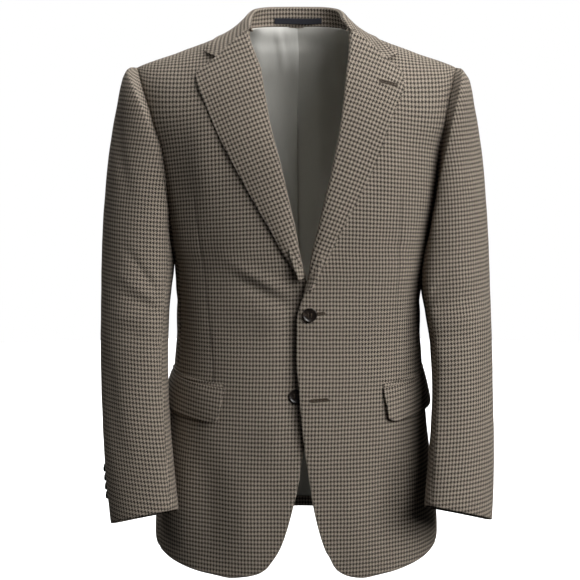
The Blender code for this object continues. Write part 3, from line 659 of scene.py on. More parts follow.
class Bench:
    """A material being made, and the one way in which nodes are added to it."""

    def __init__(self, name):
        self.material = bpy.data.materials.new(name)
        self.material.use_nodes = True
        self.tree = self.material.node_tree
        self.shader = self.tree.nodes["Principled BSDF"]

    def plug(self, socket, value):
        if isinstance(value, Wire):
            self.tree.links.new(value.socket, socket)
        else:
            socket.default_value = value

    def node(self, kind, settings, sockets, out=0):
        node = self.tree.nodes.new("ShaderNode" + kind)
        for name, value in settings.items():
            setattr(node, name, value)
        for name, value in sockets.items():
            self.plug(node.inputs[name], value)
        return Wire(self, node.outputs[out])

    def math(self, operation, *values):
        return self.node("Math", {"operation": operation}, dict(enumerate(values)))

    def finish(self, **sockets):
        for name, value in sockets.items():
            self.plug(self.shader.inputs[name.replace("_", " ").title()], value)
        return self.material

    def flat_cloth(self):
        """Across and along the flat pattern, in metres."""
        place = self.node("TexCoord", {}, {}, "UV")
        return (self.node("SeparateXYZ", {}, {0: place}, "X"),
                self.node("SeparateXYZ", {}, {0: place}, "Y"))

    def point(self, x, y, z=0.0):
        return self.node("CombineXYZ", {}, {0: x, 1: y, 2: z})

    def noise(self, vector, scale, detail=2.0):
        """Noise about zero, from about -0.5 to 0.5."""
        return self.node("TexNoise", {}, {"Vector": vector, "Scale": scale,
                                          "Detail": detail}) - 0.5

    def plain(self, colour):
        """One colour all over."""
        wire = self.node("RGB", {}, {})
        wire.socket.default_value = (*colour, 1)
        return wire

    def blend(self, share, first, second):
        """One colour turning into another."""
        colours = {0: share, 6: (*first, 1), 7: (*second, 1)}
        return self.node("Mix", {"data_type": "RGBA"}, colours, 2)

    def shaded(self, colour, amount):
        """A colour made lighter or darker by a number, 1 leaving it as it is."""
        return self.node("VectorMath", {"operation": "SCALE"}, {0: colour, "Scale": amount})

    def bumped(self, height, distance, under=None):
        sockets = {"Height": height, "Distance": distance, "Strength": 1.0}
        if under:
            sockets["Normal"] = under
        return self.node("Bump", {}, sockets)

    def distance_to(self, across, along, start, end):
        """Distance on the flat cloth from a straight line between two places."""
        run = (end[0] - start[0], end[1] - start[1])
        length = math.hypot(*run)
        from_across, from_along = across - start[0], along - start[1]
        share = (from_across * run[0] + from_along * run[1]) * (1 / length ** 2)
        share = share.kept_in(0.0, 1.0)
        off_across, off_along = from_across - share * run[0], from_along - share * run[1]
        return (off_across * off_across + off_along * off_along).math("SQRT")


def tweed(name, lines=()):
    """Puppytooth tweed: four fawn and four umber yarns each way in a two-and-two twill.

    Lines are seams pressed into the cloth, each a groove in the bump and a strip of painted shade
    that darkens the colour along it: their ends on the flat pattern.
    """
    bench = Bench(name)
    u, v = bench.flat_cloth()
    slack = bench.point(u, v)
    u = u + bench.noise(slack, 55.0) * 0.0011
    v = v + bench.noise(bench.point(v, u, 3.0), 48.0) * 0.0012
    frayed = bench.noise(bench.point(u, v, 1.0), 2300.0) * 0.22
    ends = u * (THREADS / CHECK_WIDTH) + frayed
    picks = v * (THREADS / CHECK_HEIGHT) + frayed
    warp_dark = (ends % THREADS) < THREADS / 2
    weft_dark = (picks % THREADS) < THREADS / 2
    end, pick = ends.math("FLOOR"), picks.math("FLOOR")
    warp_over = ((end + pick) % 4) < 1.5
    dark = warp_over * warp_dark + (1 - warp_over) * weft_dark
    fibre_up = bench.noise(bench.point(u * 3.0, v * 0.6), 1500.0, 3.0)
    fibre_across = bench.noise(bench.point(u * 0.6, v * 3.0, 5.0), 1500.0, 3.0)
    fibre = warp_over * fibre_up + (1 - warp_over) * fibre_across
    heather = bench.noise(bench.point(u, v, 9.0), 420.0, 3.0)
    slow = bench.noise(bench.point(u, v, 2.0), 14.0)
    colour = bench.blend(dark, FAWN, UMBER)
    amount = 1 + fibre * 0.65 + heather * 0.85 + slow * 0.16
    off_end, off_pick = (ends % 1) - 0.5, (picks % 1) - 0.5
    rounded = warp_over * (off_end * off_end) + (1 - warp_over) * (off_pick * off_pick)
    height = 1 - rounded * 3.0 + fibre * 0.5
    normal = bench.bumped(height, 0.00010)
    for start, stop in lines:
        near = bench.distance_to(u, v, start, stop)
        groove_and_shade = (1 - near * (1 / DART_WIDTH)).kept_in(0.0, 1.0)
        # painted shade: the colour darkens by up to 42% across the seam's groove, where its shadow
        # would fall
        amount = amount * (1 - groove_and_shade * groove_and_shade * 0.42)
        normal = bench.bumped(1 - groove_and_shade, 0.0007, normal)
    shader = bench.shader
    shader.inputs["Specular IOR Level"].default_value = 0.22
    shader.inputs["Sheen Weight"].default_value = 0.10
    shader.inputs["Sheen Roughness"].default_value = 0.55
    shader.inputs["Sheen Tint"].default_value = (0.85, 0.76, 0.64, 1)
    return bench.finish(base_color=bench.shaded(colour, amount),
                        roughness=0.88 + fibre * 0.12, normal=normal)


def satin(name):
    """Grey lining satin: a fine warp-faced weave with a soft lustre and a faint slub."""
    bench = Bench(name)
    u, v = bench.flat_cloth()
    slub = bench.noise(bench.point(u * 6.0, v * 0.35), 180.0, 3.0)
    cloudy = bench.noise(bench.point(u, v), 16.0)
    yarns = (u * 3300.0).math("SINE")
    floats = ((u + v * 0.45) * 5200.0).math("SINE")
    height = yarns * 0.5 + floats * 0.5 + slub
    amount = 1 + slub * 0.10 + cloudy * 0.06
    shader = bench.shader
    shader.inputs["Specular IOR Level"].default_value = 0.6
    shader.inputs["Anisotropic"].default_value = 0.45
    shader.inputs["Sheen Weight"].default_value = 0.05
    return bench.finish(base_color=bench.shaded(bench.plain(SATIN_GREY), amount),
                        roughness=0.40 + slub * 0.12 + cloudy * 0.06,
                        normal=bench.bumped(height, 0.00002))


lining_satin = satin("lining_satin")
plain_tweed = tweed("tweed")
for side in SIDES:
    turn, z = front_cut(side)
    places, out = front_face(side, turn, z)
    x = places[..., 0]
    chest_x, chest_z, pocket_x, pocket_z = DARTS[side]
    hollow = (chest_x, chest_z + DART_PAST_END, pocket_x, pocket_z - DART_PAST_END, *DART_HOLLOW)
    lift = creased(x, z, FRONT_CREASES[side]) + uneven(x, z, UNEVEN) + creased(x, z, (hollow,))
    near_edge = from_border(places, "first_column")
    lift *= eased(near_edge / 0.02)
    lift -= pressed_edge(places, "first_column", FRONT_EDGE_REACH)
    lift -= pressed_edge(places, "first_row")
    places = places + out * lift[..., None]
    places = seamed(places, out, ("last_row", "last_column"), z + x)
    flat = flat_pattern(turn, z)
    dart_x, dart_z = np.array((chest_x, pocket_x)), np.array((chest_z, pocket_z))
    dart_ends = flat_pattern(turn_at(dart_x, dart_z), dart_z)
    dart = [(float(u) * HAND[side], float(v)) for u, v in dart_ends]
    faced = (near_edge < FACING_WIDTH) | (from_border(places, "first_row") < HEM_TURN_UP)
    places, out, flat = to_side(side, places, out, flat)
    front = sew(f"{side}_front", places, out, flat,
                (tweed(f"{side}_front_tweed", (dart,)), lining_satin), turned_in=faced)
    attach(front, "root")
    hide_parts(f"front_{side}")


# Side panels: the two narrow tweed panels under the arms, from the armhole to the hem, sewn to
# the front and the back.
SIDE_GIRTH = 0.16
SIDE_CREASES = (
    # from turn and up, to turn and up, half width, height
    (80.0, -0.330, 98.0, -0.350, 0.010, -0.0016),
    (76.0, -0.400, 100., -0.385, 0.011, -0.0014),
    (84.0, -0.440, 104., -0.455, 0.010, -0.0011),
)

for side in SIDES:
    around = mix(SIDE_SEAM_AT, 360 - SIDE_SEAM_AT, shares(26))
    turn, top_z = armhole(side, np.where(around > 180, around - 360, around))
    z = mix(hem_z(side, turn), top_z, shares(110, HEM_CLOSE)[:, None])
    turn = turn + 0 * z
    places, out = form(turn, z), outward(turn, z)
    across = np.radians(turn) * SIDE_GIRTH
    creases = [(math.radians(a) * SIDE_GIRTH, b, math.radians(c) * SIDE_GIRTH, d, w, h)
               for a, b, c, d, w, h in SIDE_CREASES]
    lift = creased(across, z, creases) + uneven(across, z, UNEVEN)
    lift -= pressed_edge(places, "first_row")
    places = places + out * lift[..., None]
    places = seamed(places, out, ("first_column", "last_column", "last_row"), z)
    turned_up = from_border(places, "first_row") < HEM_TURN_UP
    places, out, flat = to_side(side, places, out, flat_pattern(turn, z, 0.0))
    side_panel = sew(f"{side}_side_panel", places, out, flat, (plain_tweed, lining_satin),
                     turned_in=turned_up)
    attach(side_panel, "root")
    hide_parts(f"side_panel_{side}")


# Backs: two panels of tweed, sewn to one another down the middle of the back, to the fronts
# along the shoulders, and to the side panels.
BACK_CREASES = (
    # from across and up, to across and up, half width, height
    (0.165, -0.110, 0.150, -0.300, 0.0160, -0.0042),
    (0.140, -0.120, 0.118, -0.330, 0.0180, 0.0026),
    (0.060, -0.050, 0.020, -0.160, 0.0200, -0.0016),
    (0.020, -0.415, 0.120, -0.385, 0.0110, -0.0019),
    (0.030, -0.450, 0.140, -0.435, 0.0120, -0.0014),
    (0.015, -0.475, 0.100, -0.500, 0.0130, 0.0012),
    (0.070, -0.560, 0.085, -0.760, 0.0220, 0.0030),
    (0.125, -0.540, 0.140, -0.750, 0.0210, -0.0028),
    (0.030, -0.600, 0.030, -0.750, 0.0200, -0.0018),
)
BACK_COLUMNS = 60
BACK_ROWS = 108
BACK_LEAN = 0.35
NECK_SHARE = 0.30
NECKLINE_Z = 0.0074
NECK_BEND_Z = -0.003
NECK_BEND_RISE = 0.010
NECK_BEND_SOFT = 0.003
NECK_BEND_END_X = 0.045
NECK_BEND_FADE = 0.030


def back_cut(side):
    """Turns and heights over half of the back: rows from hem to shoulder, from the middle out."""
    across = shares(BACK_COLUMNS)
    up = shares(BACK_ROWS, HEM_CLOSE)[:, None]
    turn = mix(180.0, armhole(side, -SIDE_SEAM_AT)[0], across) + 0 * up
    z = mix(hem_z("left", turn), SIDE_SEAM_Z, up)
    neck_turn = 180 - turn_at(NECK_X, NECK_Z)
    to_neck = np.clip(across / NECK_SHARE, 0, 1)
    to_arm = np.clip((across - NECK_SHARE) / (1 - NECK_SHARE), 0, 1)
    top_turn = np.where(across < NECK_SHARE, mix(180.0, neck_turn, to_neck),
                        mix(neck_turn, 90.0, to_arm))
    neckline = mix(NECKLINE_Z, NECK_Z, to_neck ** 4)
    seam = shoulder_z(SHOULDER_X * power(np.sin(np.radians(top_turn)), 2 / SQUARENESS))
    top_z = np.where(across < NECK_SHARE, neckline, seam)
    out_turn, out_z = armhole(side, -SIDE_SEAM_AT * (1 - np.linspace(0, 1, ARMHOLE_ROWS)[1:, None]))
    up = (out_z - SIDE_SEAM_Z) / (SHOULDER_Z - SIDE_SEAM_Z)
    reach = mix(across, (180.0 - top_turn) / 90.0, up)
    turn = np.concatenate((turn, mix(180.0, out_turn, reach)))
    return turn, np.concatenate((z, mix(SIDE_SEAM_Z, top_z, up)))


def back_face(turn, z):
    """Outer face of the back, which stands up straight round the neck, and its outward side."""
    past_end = (form(turn, z)[..., 0] - NECK_BEND_END_X) / NECK_BEND_FADE
    rise = NECK_BEND_RISE * eased(past_end)
    soft = NECK_BEND_SOFT
    bent_z = -soft * np.logaddexp(-z / soft, -(NECK_BEND_Z + rise) / soft)
    places = form(turn, bent_z)
    places[..., 2] = z
    return places, outward(turn, bent_z)


def back_flat(turn, z):
    """Flat pattern of the back, measured out from its middle seam."""
    return flat_pattern(180 - turn, z, BACK_LEAN)


def back_lift(x, z):
    """How far the back's cloth stands out of its plain shape in creases, or in."""
    return creased(x, z, BACK_CREASES) + uneven(x + 0.01, z + 0.02, 0.00050)


for side in SIDES:
    turn, z = back_cut(side)
    places, out = back_face(turn, z)
    x = places[..., 0]
    lift = back_lift(x, z) - pressed_edge(places, "first_row")
    places = places + out * lift[..., None]
    places = seamed(places, out, ("last_row", "first_column", "last_column"), z + x)
    turned_up = from_border(places, "first_row") < HEM_TURN_UP
    places, out, flat = to_side(side, places, out, back_flat(turn, z))
    back = sew(f"{side}_back", places, out, flat, (plain_tweed, lining_satin),
               turned_in=turned_up)
    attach(back, "root")
    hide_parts(f"back_{side}")


# Lapels: the fronts' facings, turned out over the chest. Each rolls out of the inside of its
# front in a soft fold, lies a little off the chest, and ends at the notch and the gorge seam.
LAPELS = (
    # height, left lapel's edge, right lapel's edge
    (-0.0675, 0.1488, 0.1420),
    (-0.0851, 0.1500, 0.1380),
    (-0.1083, 0.1405, 0.1280),
    (-0.1277, 0.1319, 0.1195),
    (-0.1695, 0.1166, 0.0995),
    (-0.2099, 0.0985, 0.0775),
    (-0.2504, 0.0780, 0.0550),
    (-0.2889, 0.0577, 0.0330),
    (-0.3219, 0.0424, 0.0160),
    (-0.3497, 0.0250, 0.0011),
    (-0.3690, 0.0125, -0.0040),
)
NOTCH = {
    # side: collar point, notch corner, top of the roll line, each across and up
    "left": ((0.1432, -0.0393), (0.1245, -0.0488), (0.0718, -0.0090)),
    "right": ((0.1317, -0.0354), (0.1100, -0.0468), (0.0634, -0.0090)),
}
LAPEL_CLEAR = (
    # share of the way from the roll to the edge, gap to the front under it
    (0.00, 0.0009),
    (0.25, 0.0036),
    (0.60, 0.0044),
    (1.00, 0.0020),
)
ROLL_RISE = 0.008
ROLL_RISE_END = -0.11
LAPEL_GRAIN = math.radians(22.0)
FACING_TUCK = 0.016
CORNER_SHARE = 0.5


def roll_rise(z):
    """How much further the roll stands off the chest, up towards the neck."""
    rise = np.clip((z - ROLL_RISE_END) / -ROLL_RISE_END, 0, 1)
    return ROLL_RISE * rise * rise


def lapel_face(side, x, z, share):
    """Outer face of the turned-back lapel over a place on its front."""
    place, out = front_face(side, turn_at(x, z), z)
    off = smooth(LAPEL_CLEAR, 1, share) + CLOTH
    off = off + roll_rise(z) * np.maximum(0, 1 - share * 1.6)
    return place + out * off[..., None], out


for side in SIDES:
    column = SIDE_COLUMN[side]
    _, corner, top = NOTCH[side]
    tip = (LAPELS[0][column], LAPELS[0][0])
    up = shares(78, (0.003, 0.007, 0.012))[:, None]
    share = shares(24, (0.012, 0.03, 0.06))
    roll_z = mix(LAPEL_FOOT[side], top[1], up)
    edge_z = mix(LAPEL_FOOT[side] - 0.002, tip[1], up)
    roll_x = mix(smooth(EDGES, column, roll_z), top[0], np.maximum(0, up - 0.85) / 0.15)
    radius = roll_radius(side, roll_z) + roll_rise(roll_z) / 2
    roll_x = roll_x + radius
    edge_x = smooth(LAPELS, column, edge_z)
    x, z = mix(roll_x, edge_x, share), mix(roll_z, edge_z, share)
    to_corner = np.clip(share / CORNER_SHARE, 0, 1)
    to_tip = np.clip((share - CORNER_SHARE) / (1 - CORNER_SHARE), 0, 1)
    gorge_x = mix(mix(top[0], corner[0], to_corner), tip[0], to_tip)
    gorge_z = mix(mix(top[1], corner[1], to_corner), tip[1], to_tip)
    x = x + (gorge_x - mix(top[0], tip[0], share)) * up ** 6
    z = z + (gorge_z - mix(top[1], tip[1], share)) * up ** 6
    places, out = lapel_face(side, x, z, share + 0 * up)
    lift = uneven(x + 0.03, z, 0.00030) * eased(share / 0.3)
    places = places + out * lift[..., None]
    inward = unit(places[:, :1] - places[:, 2:3])
    middle = places[:, :1] - out[:, :1] * radius[..., None]
    bend = np.radians(np.linspace(180, 0, 12)[:-1])[None, :, None]
    roll = middle + radius[..., None] * (out[:, :1] * np.cos(bend) + inward * np.sin(bend))
    tuck = roll[:, :1] - inward * np.linspace(FACING_TUCK, 0.003, 5)[None, :, None]
    places = np.concatenate((tuck, roll, places), axis=1)
    turned = tuck.shape[1] + roll.shape[1]
    around = from_border(places, "first_column")[:, :turned + 1]
    across = np.concatenate((x[:, :1] + around[:, :-1] - around[:, -1:], x), axis=1)
    along = np.concatenate((np.repeat(z[:, :1], turned, axis=1), z), axis=1)
    out = np.concatenate((np.repeat(0 * out[:, :1], turned, axis=1), out), axis=1)
    flat = np.stack((across * math.cos(LAPEL_GRAIN) - along * math.sin(LAPEL_GRAIN),
                     across * math.sin(LAPEL_GRAIN) + along * math.cos(LAPEL_GRAIN)), -1)
    places, out, flat = to_side(side, places, out, flat)
    lapel = sew(f"{side}_lapel", places, out, flat, (plain_tweed, plain_tweed))
    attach(lapel, "root")
    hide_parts(f"lapel_{side}")


# Collar: one band of tweed, sewn round the neck, standing up and folded over into the fall,
# whose front ends meet the lapels at the gorge seam and leave the notch open.
COLLAR = (
    # fold x, y, z; outer edge x, y, z; neck seam x, y, z
    ((0.0680, -0.0150, 0.0140), (0.1240, -0.0300, -0.0195), (0.0760, -0.0060, 0.0000)),
    ((0.0665, 0.0080, 0.0232), (0.1125, 0.0020, -0.0085), (0.0765, 0.0070, 0.0020)),
    ((0.0600, 0.0350, 0.0310), (0.1035, 0.0400, -0.0085), (0.0700, 0.0260, 0.0035)),
    ((0.0430, 0.0560, 0.0352), (0.0810, 0.0760, -0.0085), (0.0520, 0.0440, 0.0045)),
    ((0.0220, 0.0645, 0.0363), (0.0430, 0.0950, -0.0095), (0.0270, 0.0545, 0.0058)),
    ((0.0000, 0.0670, 0.0366), (0.0000, 0.1010, -0.0100), (0.0000, 0.0580, 0.0062)),
)
STAND_TURN_IN = 0.0035
STAND_EASED = 0.65
MIRROR = np.array((-1, 1, 1))


def collar_row(station):
    """One cross-section: up the stand from the neck seam, over the fold, down to the edge."""
    fold, edge, seam = (np.array(place) for place in station)
    middle = (seam + fold) / 2
    inward = unit(-middle * (1, 1, 0))
    away = unit(edge - fold)
    bulge = unit(np.array((0, 0, 1)) - away * away[2])
    row = [seam, middle + inward * STAND_TURN_IN * 0.4, fold + inward * STAND_TURN_IN,
           fold + np.array((0, 0, 0.0012)) - inward * 0.0012]
    for share, rise in ((0.20, -0.0006), (0.45, -0.0028), (0.75, -0.0030)):
        row.append(mix(fold, edge, share) + bulge * rise - inward * 0.0016)
    return np.array(row + [edge])


def collar_end(side):
    """Front end of the collar, along the gorge and the notch."""
    point, corner, top = NOTCH[side]

    def on_lapel(x, z, share):
        return lapel_face(side, np.array(x), np.array(z), np.array(share))[0]

    fold = on_lapel(top[0], top[1] + 0.0012, 0.0) + (0, 0.0014, 0.0020)
    over_point = on_lapel(point[0], point[1], 1.0)
    over_corner = on_lapel(corner[0] - 0.001, corner[1] + 0.0014, 0.5)
    seam = fold + (-0.004, 0.003, -0.006)
    return np.array([seam, (seam + fold) / 2, fold + (-0.001, 0.001, 0), fold,
                     mix(fold, over_corner, 0.30), mix(fold, over_corner, 0.68),
                     over_corner, over_point])


def collar_stations():
    """Cross-sections all the way round, from the left front end to the right one."""
    half = [collar_row(station) for station in COLLAR]
    other = [row * MIRROR for row in half[:-1]]
    return np.array([collar_end("left"), *half, *other[::-1], collar_end("right") * MIRROR])


stations = collar_stations()
steps = np.linalg.norm(np.diff(stations[:, 3:], axis=0), axis=-1).mean(axis=1)
round_neck = np.concatenate(((0,), np.cumsum(steps)))
steps = np.linalg.norm(np.diff(stations, axis=1), axis=-1).mean(axis=0)
over_fold = np.concatenate(((0,), np.cumsum(steps)))
places = curve(round_neck, stations, shares(150, (0.002, 0.005)) * round_neck[-1], taut=False)
places = places.swapaxes(0, 1)
collar_fold_at = shares(44, (0.01, 0.025)) * over_fold[-1]
places = curve(over_fold, places, collar_fold_at, taut=False).swapaxes(0, 1)
across = np.diff(places, axis=1, append=places[:, -1:] * 2 - places[:, -2:-1])
along = np.diff(places, axis=0, append=places[-1:] * 2 - places[-2:-1])
out = unit(np.cross(across, along))
if out[out.shape[0] // 2, -6][1] < 0:
    out = -out
flat = laid_flat(places, out, unit(np.gradient(places, axis=0)))
stand_across = from_border(places, "first_row")
stand_across = stand_across - stand_across[places.shape[0] // 2]
stand_across = mix(stand_across, -places[..., 0], STAND_EASED)
on_stand = collar_fold_at < over_fold[2]
flat[:, on_stand, 0] = stand_across[:, on_stand]
collar_places = places
collar = sew("collar_cloth", places, out, flat, (plain_tweed, plain_tweed))
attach(collar, "root")
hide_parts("collar")


# Sleeves: two pieces each, the top sleeve over the outside of the arm and the under sleeve
# next to the body, joined down the fore-arm and the hind-arm, and eased into the armhole.
SLEEVE = (
    # outer x and inner x of the right sleeve, then of the left, outer z, inner z, middle y,
    # half depth, tilt of the ring in degrees, how far its front leans to the body on the
    # right and on the left, and how far its back does
    (0.2462, 0.1850, 0.2412, 0.1915, -0.0588, -0.3070, -0.006, 0.0630, 0.0, 0.29, 0.10, 0.10),
    (0.2540, 0.1832, 0.2520, 0.1885, -0.0740, -0.3150, -0.006, 0.0660, 0.0, 0.27, 0.12, 0.06),
    (0.2612, 0.1812, 0.2588, 0.1855, -0.1090, -0.3250, -0.006, 0.0685, 0.0, 0.25, 0.15, 0.00),
    (0.2688, 0.1792, 0.2660, 0.1835, -0.1550, -0.3370, -0.008, 0.0695, 0.5, 0.24, 0.18, -0.08),
    (0.2772, 0.1797, 0.2740, 0.1820, -0.2130, -0.3520, -0.011, 0.0695, 1.5, 0.25, 0.22, -0.16),
    (0.2828, 0.1828, 0.2793, 0.1825, -0.2850, -0.3760, -0.018, 0.0680, 3.0, 0.28, 0.27, -0.24),
    (0.2840, 0.1860, 0.2812, 0.1885, -0.3600, -0.4120, -0.030, 0.0655, 5.0, 0.30, 0.30, -0.28),
    (0.2842, 0.1872, 0.2830, 0.1950, -0.4300, -0.4570, -0.045, 0.0625, 8.0, 0.30, 0.30, -0.30),
    (0.2828, 0.1855, 0.2838, 0.1965, -0.5000, -0.5100, -0.062, 0.0590, 11.0, 0.30, 0.30, -0.30),
    (0.2790, 0.1815, 0.2838, 0.1935, -0.5650, -0.5660, -0.080, 0.0555, 14.0, 0.28, 0.28, -0.28),
    (0.2732, 0.1755, 0.2820, 0.1880, -0.6255, -0.6190, -0.098, 0.0515, 16.0, 0.26, 0.26, -0.26),
    (0.2655, 0.1675, 0.2790, 0.1815, -0.6965, -0.6770, -0.118, 0.0465, 18.0, 0.24, 0.24, -0.24),
)
SLEEVE_COLUMNS = {"left": (2, 3, 10), "right": (0, 1, 9)}
OUTER_Z, INNER_Z, MIDDLE_Y, HALF_DEPTH, TILT, BACK_LEANING = 4, 5, 6, 7, 8, 11
SLEEVE_SQUARENESS = 2.15
FORE_SQUARENESS = {"left": 3.1, "right": 2.4}
RIGHT_CUFF_DROP = 0.0055
FORE_SEAM = 132.0
HIND_SEAM = -75.0
CUFF_TURN_UP = 0.040
SLEEVE_GIRTH = 0.060
SLEEVE_LEAN = 0.085
SLEEVE_HEAD = 0.0002
ARMHOLE_SINK = 0.0005
ARMHOLE_TUCK = 0.0014
HEAD_EASE_AT = 0.008
HEAD_EASE_REACH = 0.007
HEAD_ROLL = {
    # side: how far the head rolls out of its seam, how many times deeper it gets, how far it
    # rises at the top, its share of the way on to the first ring of the sleeve
    "left": (0.0032, 1.03, 0.0004, 0.5),
    "right": (0.0040, 1.09, 0.0018, 0.3),
}
DROP_GRAIN = 1.03
SLEEVE_CREASES = (
    # from turn in radians and down the sleeve, to the same, half width, height
    (0.30, 0.060, 1.10, 0.170, 0.012, -0.0020),
    (-0.20, 0.050, -0.75, 0.190, 0.014, -0.0022),
    (1.00, 0.250, 2.00, 0.300, 0.010, -0.0026),
    (0.80, 0.300, 1.90, 0.318, 0.009, 0.0018),
    (0.90, 0.335, 2.10, 0.330, 0.010, -0.0028),
    (0.70, 0.372, 1.90, 0.362, 0.010, 0.0016),
    (1.10, 0.402, 2.20, 0.385, 0.011, -0.0020),
    (-1.20, 0.300, -0.30, 0.330, 0.014, 0.0012),
    (0.55, 0.420, 0.95, 0.600, 0.013, -0.0016),
    (-0.40, 0.380, -0.70, 0.560, 0.015, -0.0015),
    (1.90, 0.450, 1.60, 0.610, 0.013, -0.0006),
)


def sleeve_rings(side, turns):
    """Rings of places round a sleeve, from the armhole seam down to the cuff."""
    outer, inner, leaning = SLEEVE_COLUMNS[side]
    rolled_out, rolled_forward, rolled_up, to_next = HEAD_ROLL[side]
    wrapped = np.where(turns > 180, turns - 360, turns)
    seam = fuller(side, form(*armhole(side, wrapped)))
    from_middle = unit((seam - (0, 0, ARMHOLE_Z)) * (0, 1, 1))
    rings = [seam - from_middle * ARMHOLE_SINK - (ARMHOLE_TUCK, 0, 0)]
    angle = np.radians(turns)
    over_top = rolled_up * np.maximum(np.cos(angle), 0)[:, None] ** 4
    rings.append(seam * (1, rolled_forward, 1) + (rolled_out, 0, 0) + over_top * (0, 0, 1))
    squareness = np.where((turns > 90) & (turns < 180), FORE_SQUARENESS[side], SLEEVE_SQUARENESS)
    along = power(np.cos(angle), 2 / squareness)[:, None]
    aside = power(np.sin(angle), 2 / squareness)[:, None]
    for ring in SLEEVE:
        drop = 0.0
        if side == "right":
            drop = RIGHT_CUFF_DROP * (ring[OUTER_Z] / SLEEVE[-1][OUTER_Z]) ** 6
        outer_side = np.array((ring[outer], ring[MIDDLE_Y], ring[OUTER_Z] - drop))
        inner_side = np.array((ring[inner], ring[MIDDLE_Y], ring[INNER_Z] - drop))
        tilt = math.radians(ring[TILT])
        forward = np.array((0, -math.cos(tilt), math.sin(tilt))) * ring[HALF_DEPTH]
        lean = np.where(aside > 0, ring[leaning], ring[BACK_LEANING])
        leans = lean * ring[HALF_DEPTH] * np.sin(angle)[:, None] ** 2
        middle, reach = (outer_side + inner_side) / 2, (outer_side - inner_side) / 2
        rings.append(middle + reach * along + forward * aside - leans * (1, 0, 0))
    rings[1] = mix(rings[1], rings[2], to_next)
    return np.array(rings)


def sleeve_length():
    """How far down the outside of the sleeve each ring is."""
    outer = sleeve_rings("left", np.array((0.0,)))[:, 0]
    return np.concatenate(((0,), np.cumsum(np.linalg.norm(np.diff(outer, axis=0), axis=-1))))


def level_girth(places, middle):
    """How far round it every place is from the middle column, on a level cut at its height."""
    falling = np.minimum.accumulate(places[..., 2], axis=0)
    falling = falling - 1e-6 * np.arange(len(places))[:, None]
    girth = np.zeros(falling.shape)
    for column in range(falling.shape[1]):
        crossed = range(min(column, middle), max(column, middle) + 1)
        cut = np.array([[np.interp(falling[:, column], falling[::-1, c], places[::-1, c, axis])
                         for axis in (0, 1)] for c in crossed])
        steps = np.hypot(*np.diff(cut, axis=0).swapaxes(0, 1))
        girth[:, column] = steps.sum(axis=0) * np.sign(column - middle)
    return girth


def sleeve_cloth(side, turns):
    """Places, outward directions and flat pattern of a stretch round a sleeve."""
    down = sleeve_length()
    at = np.concatenate((np.linspace(0, 0.09, 24)[:-1], np.linspace(0.09, 1, 128)[:-3],
                         1 - np.array((0.006, 0.003, 0)))) * down[-1]
    places = curve(down, sleeve_rings(side, turns), at)
    around = np.gradient(places, axis=1)
    along = np.gradient(places, axis=0)
    out = unit(np.cross(along, around))
    centre = curve(down, sleeve_rings(side, np.linspace(-180, 180, 25)[1:]).mean(axis=1), at)
    if np.sum(out * (places - centre[:, None])) < 0:
        out = -out
    across = level_girth(places, np.argmin(np.abs(turns - (180 if turns[-1] > 180 else 0))))
    angle = np.radians(turns) + 0 * at[:, None]
    # Over the level top of the head the cloth runs on though it hardly drops.
    level = np.linalg.norm(np.diff(places, axis=0), axis=-1) + np.diff(places[..., 2], axis=0)
    level = level * np.maximum(out[1:, :, 2], 0) ** 2
    over_head = np.concatenate((np.cumsum(level[::-1], axis=0)[::-1], 0 * level[:1]))
    up = places[..., 2] * DROP_GRAIN + SLEEVE_LEAN * across + over_head
    flat = np.stack((across, up), -1)
    creases = [(a * SLEEVE_GIRTH, b, c * SLEEVE_GIRTH, d, w, h)
               for a, b, c, d, w, h in SLEEVE_CREASES]
    at_row, around = at[:, None], angle * SLEEVE_GIRTH
    lift = creased(around, at_row, creases)
    lift = lift + creased((angle - 2 * math.pi) * SLEEVE_GIRTH, at_row, creases)
    lift = lift + uneven(around, places[..., 2], UNEVEN)
    lift = lift * eased((at_row - 0.012) / 0.03)
    eased_in = np.exp(-((at_row - HEAD_EASE_AT) / HEAD_EASE_REACH) ** 2)
    lift = lift + eased_in * (SLEEVE_HEAD + 0.0004 * np.sin(angle * 17) * np.sin(angle * 5 + 1))
    lift = lift - EDGE_DIP * np.exp(-((down[-1] - at_row) / EDGE_REACH) ** 2)
    places = places + out * lift[..., None]
    return places, out, flat, at


TOP_TURNS = mix(HIND_SEAM, FORE_SEAM, shares(64, (0.006, 0.015, 0.03)))
UNDER_TURNS = mix(FORE_SEAM, 360 + HIND_SEAM, shares(48, (0.008, 0.02, 0.04)))
for side in SIDES:
    for part, turns in (("top", TOP_TURNS), ("under", UNDER_TURNS)):
        places, out, flat, at = sleeve_cloth(side, turns)
        along = at[:, None] + 0 * places[..., 0]
        places = seamed(places, out, ("first_column", "last_column"), along)
        turned_up = from_border(places, "last_row") < CUFF_TURN_UP
        hand = np.array((HAND[side], 1, 1))
        sleeve = sew(f"{side}_{part}_sleeve", places * hand, out * hand, flat * hand[:2],
                     (plain_tweed, lining_satin), turned_in=turned_up)
        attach(sleeve, "root")
        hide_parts(f"{part}_sleeve_{side}")


# Pocket flaps and jettings: a lined flap hangs out of each slanted hip pocket, under a narrow
# piped strip of tweed that binds the pocket's mouth.
FLAP_FRONT = {"left": 37.3, "right": 30.9}
FLAP_BACK = {"left": 92.0, "right": 87.0}
FLAP_TOP = -0.5094
FLAP_RISE = 0.0135
FLAP_GRAIN_RISE = 0.012
FLAP_HEIGHT = 0.0500
FLAP_LIFT = 0.0065
FLAP_FRONT_LIFT = 0.0042
FLAP_CLOTH = 0.0020
JETTING_HEIGHT = 0.0060
JETTING_INSET = 0.9
JETTING_CLOTH = 0.0012
JETTING_GRAIN_STEP = 0.003

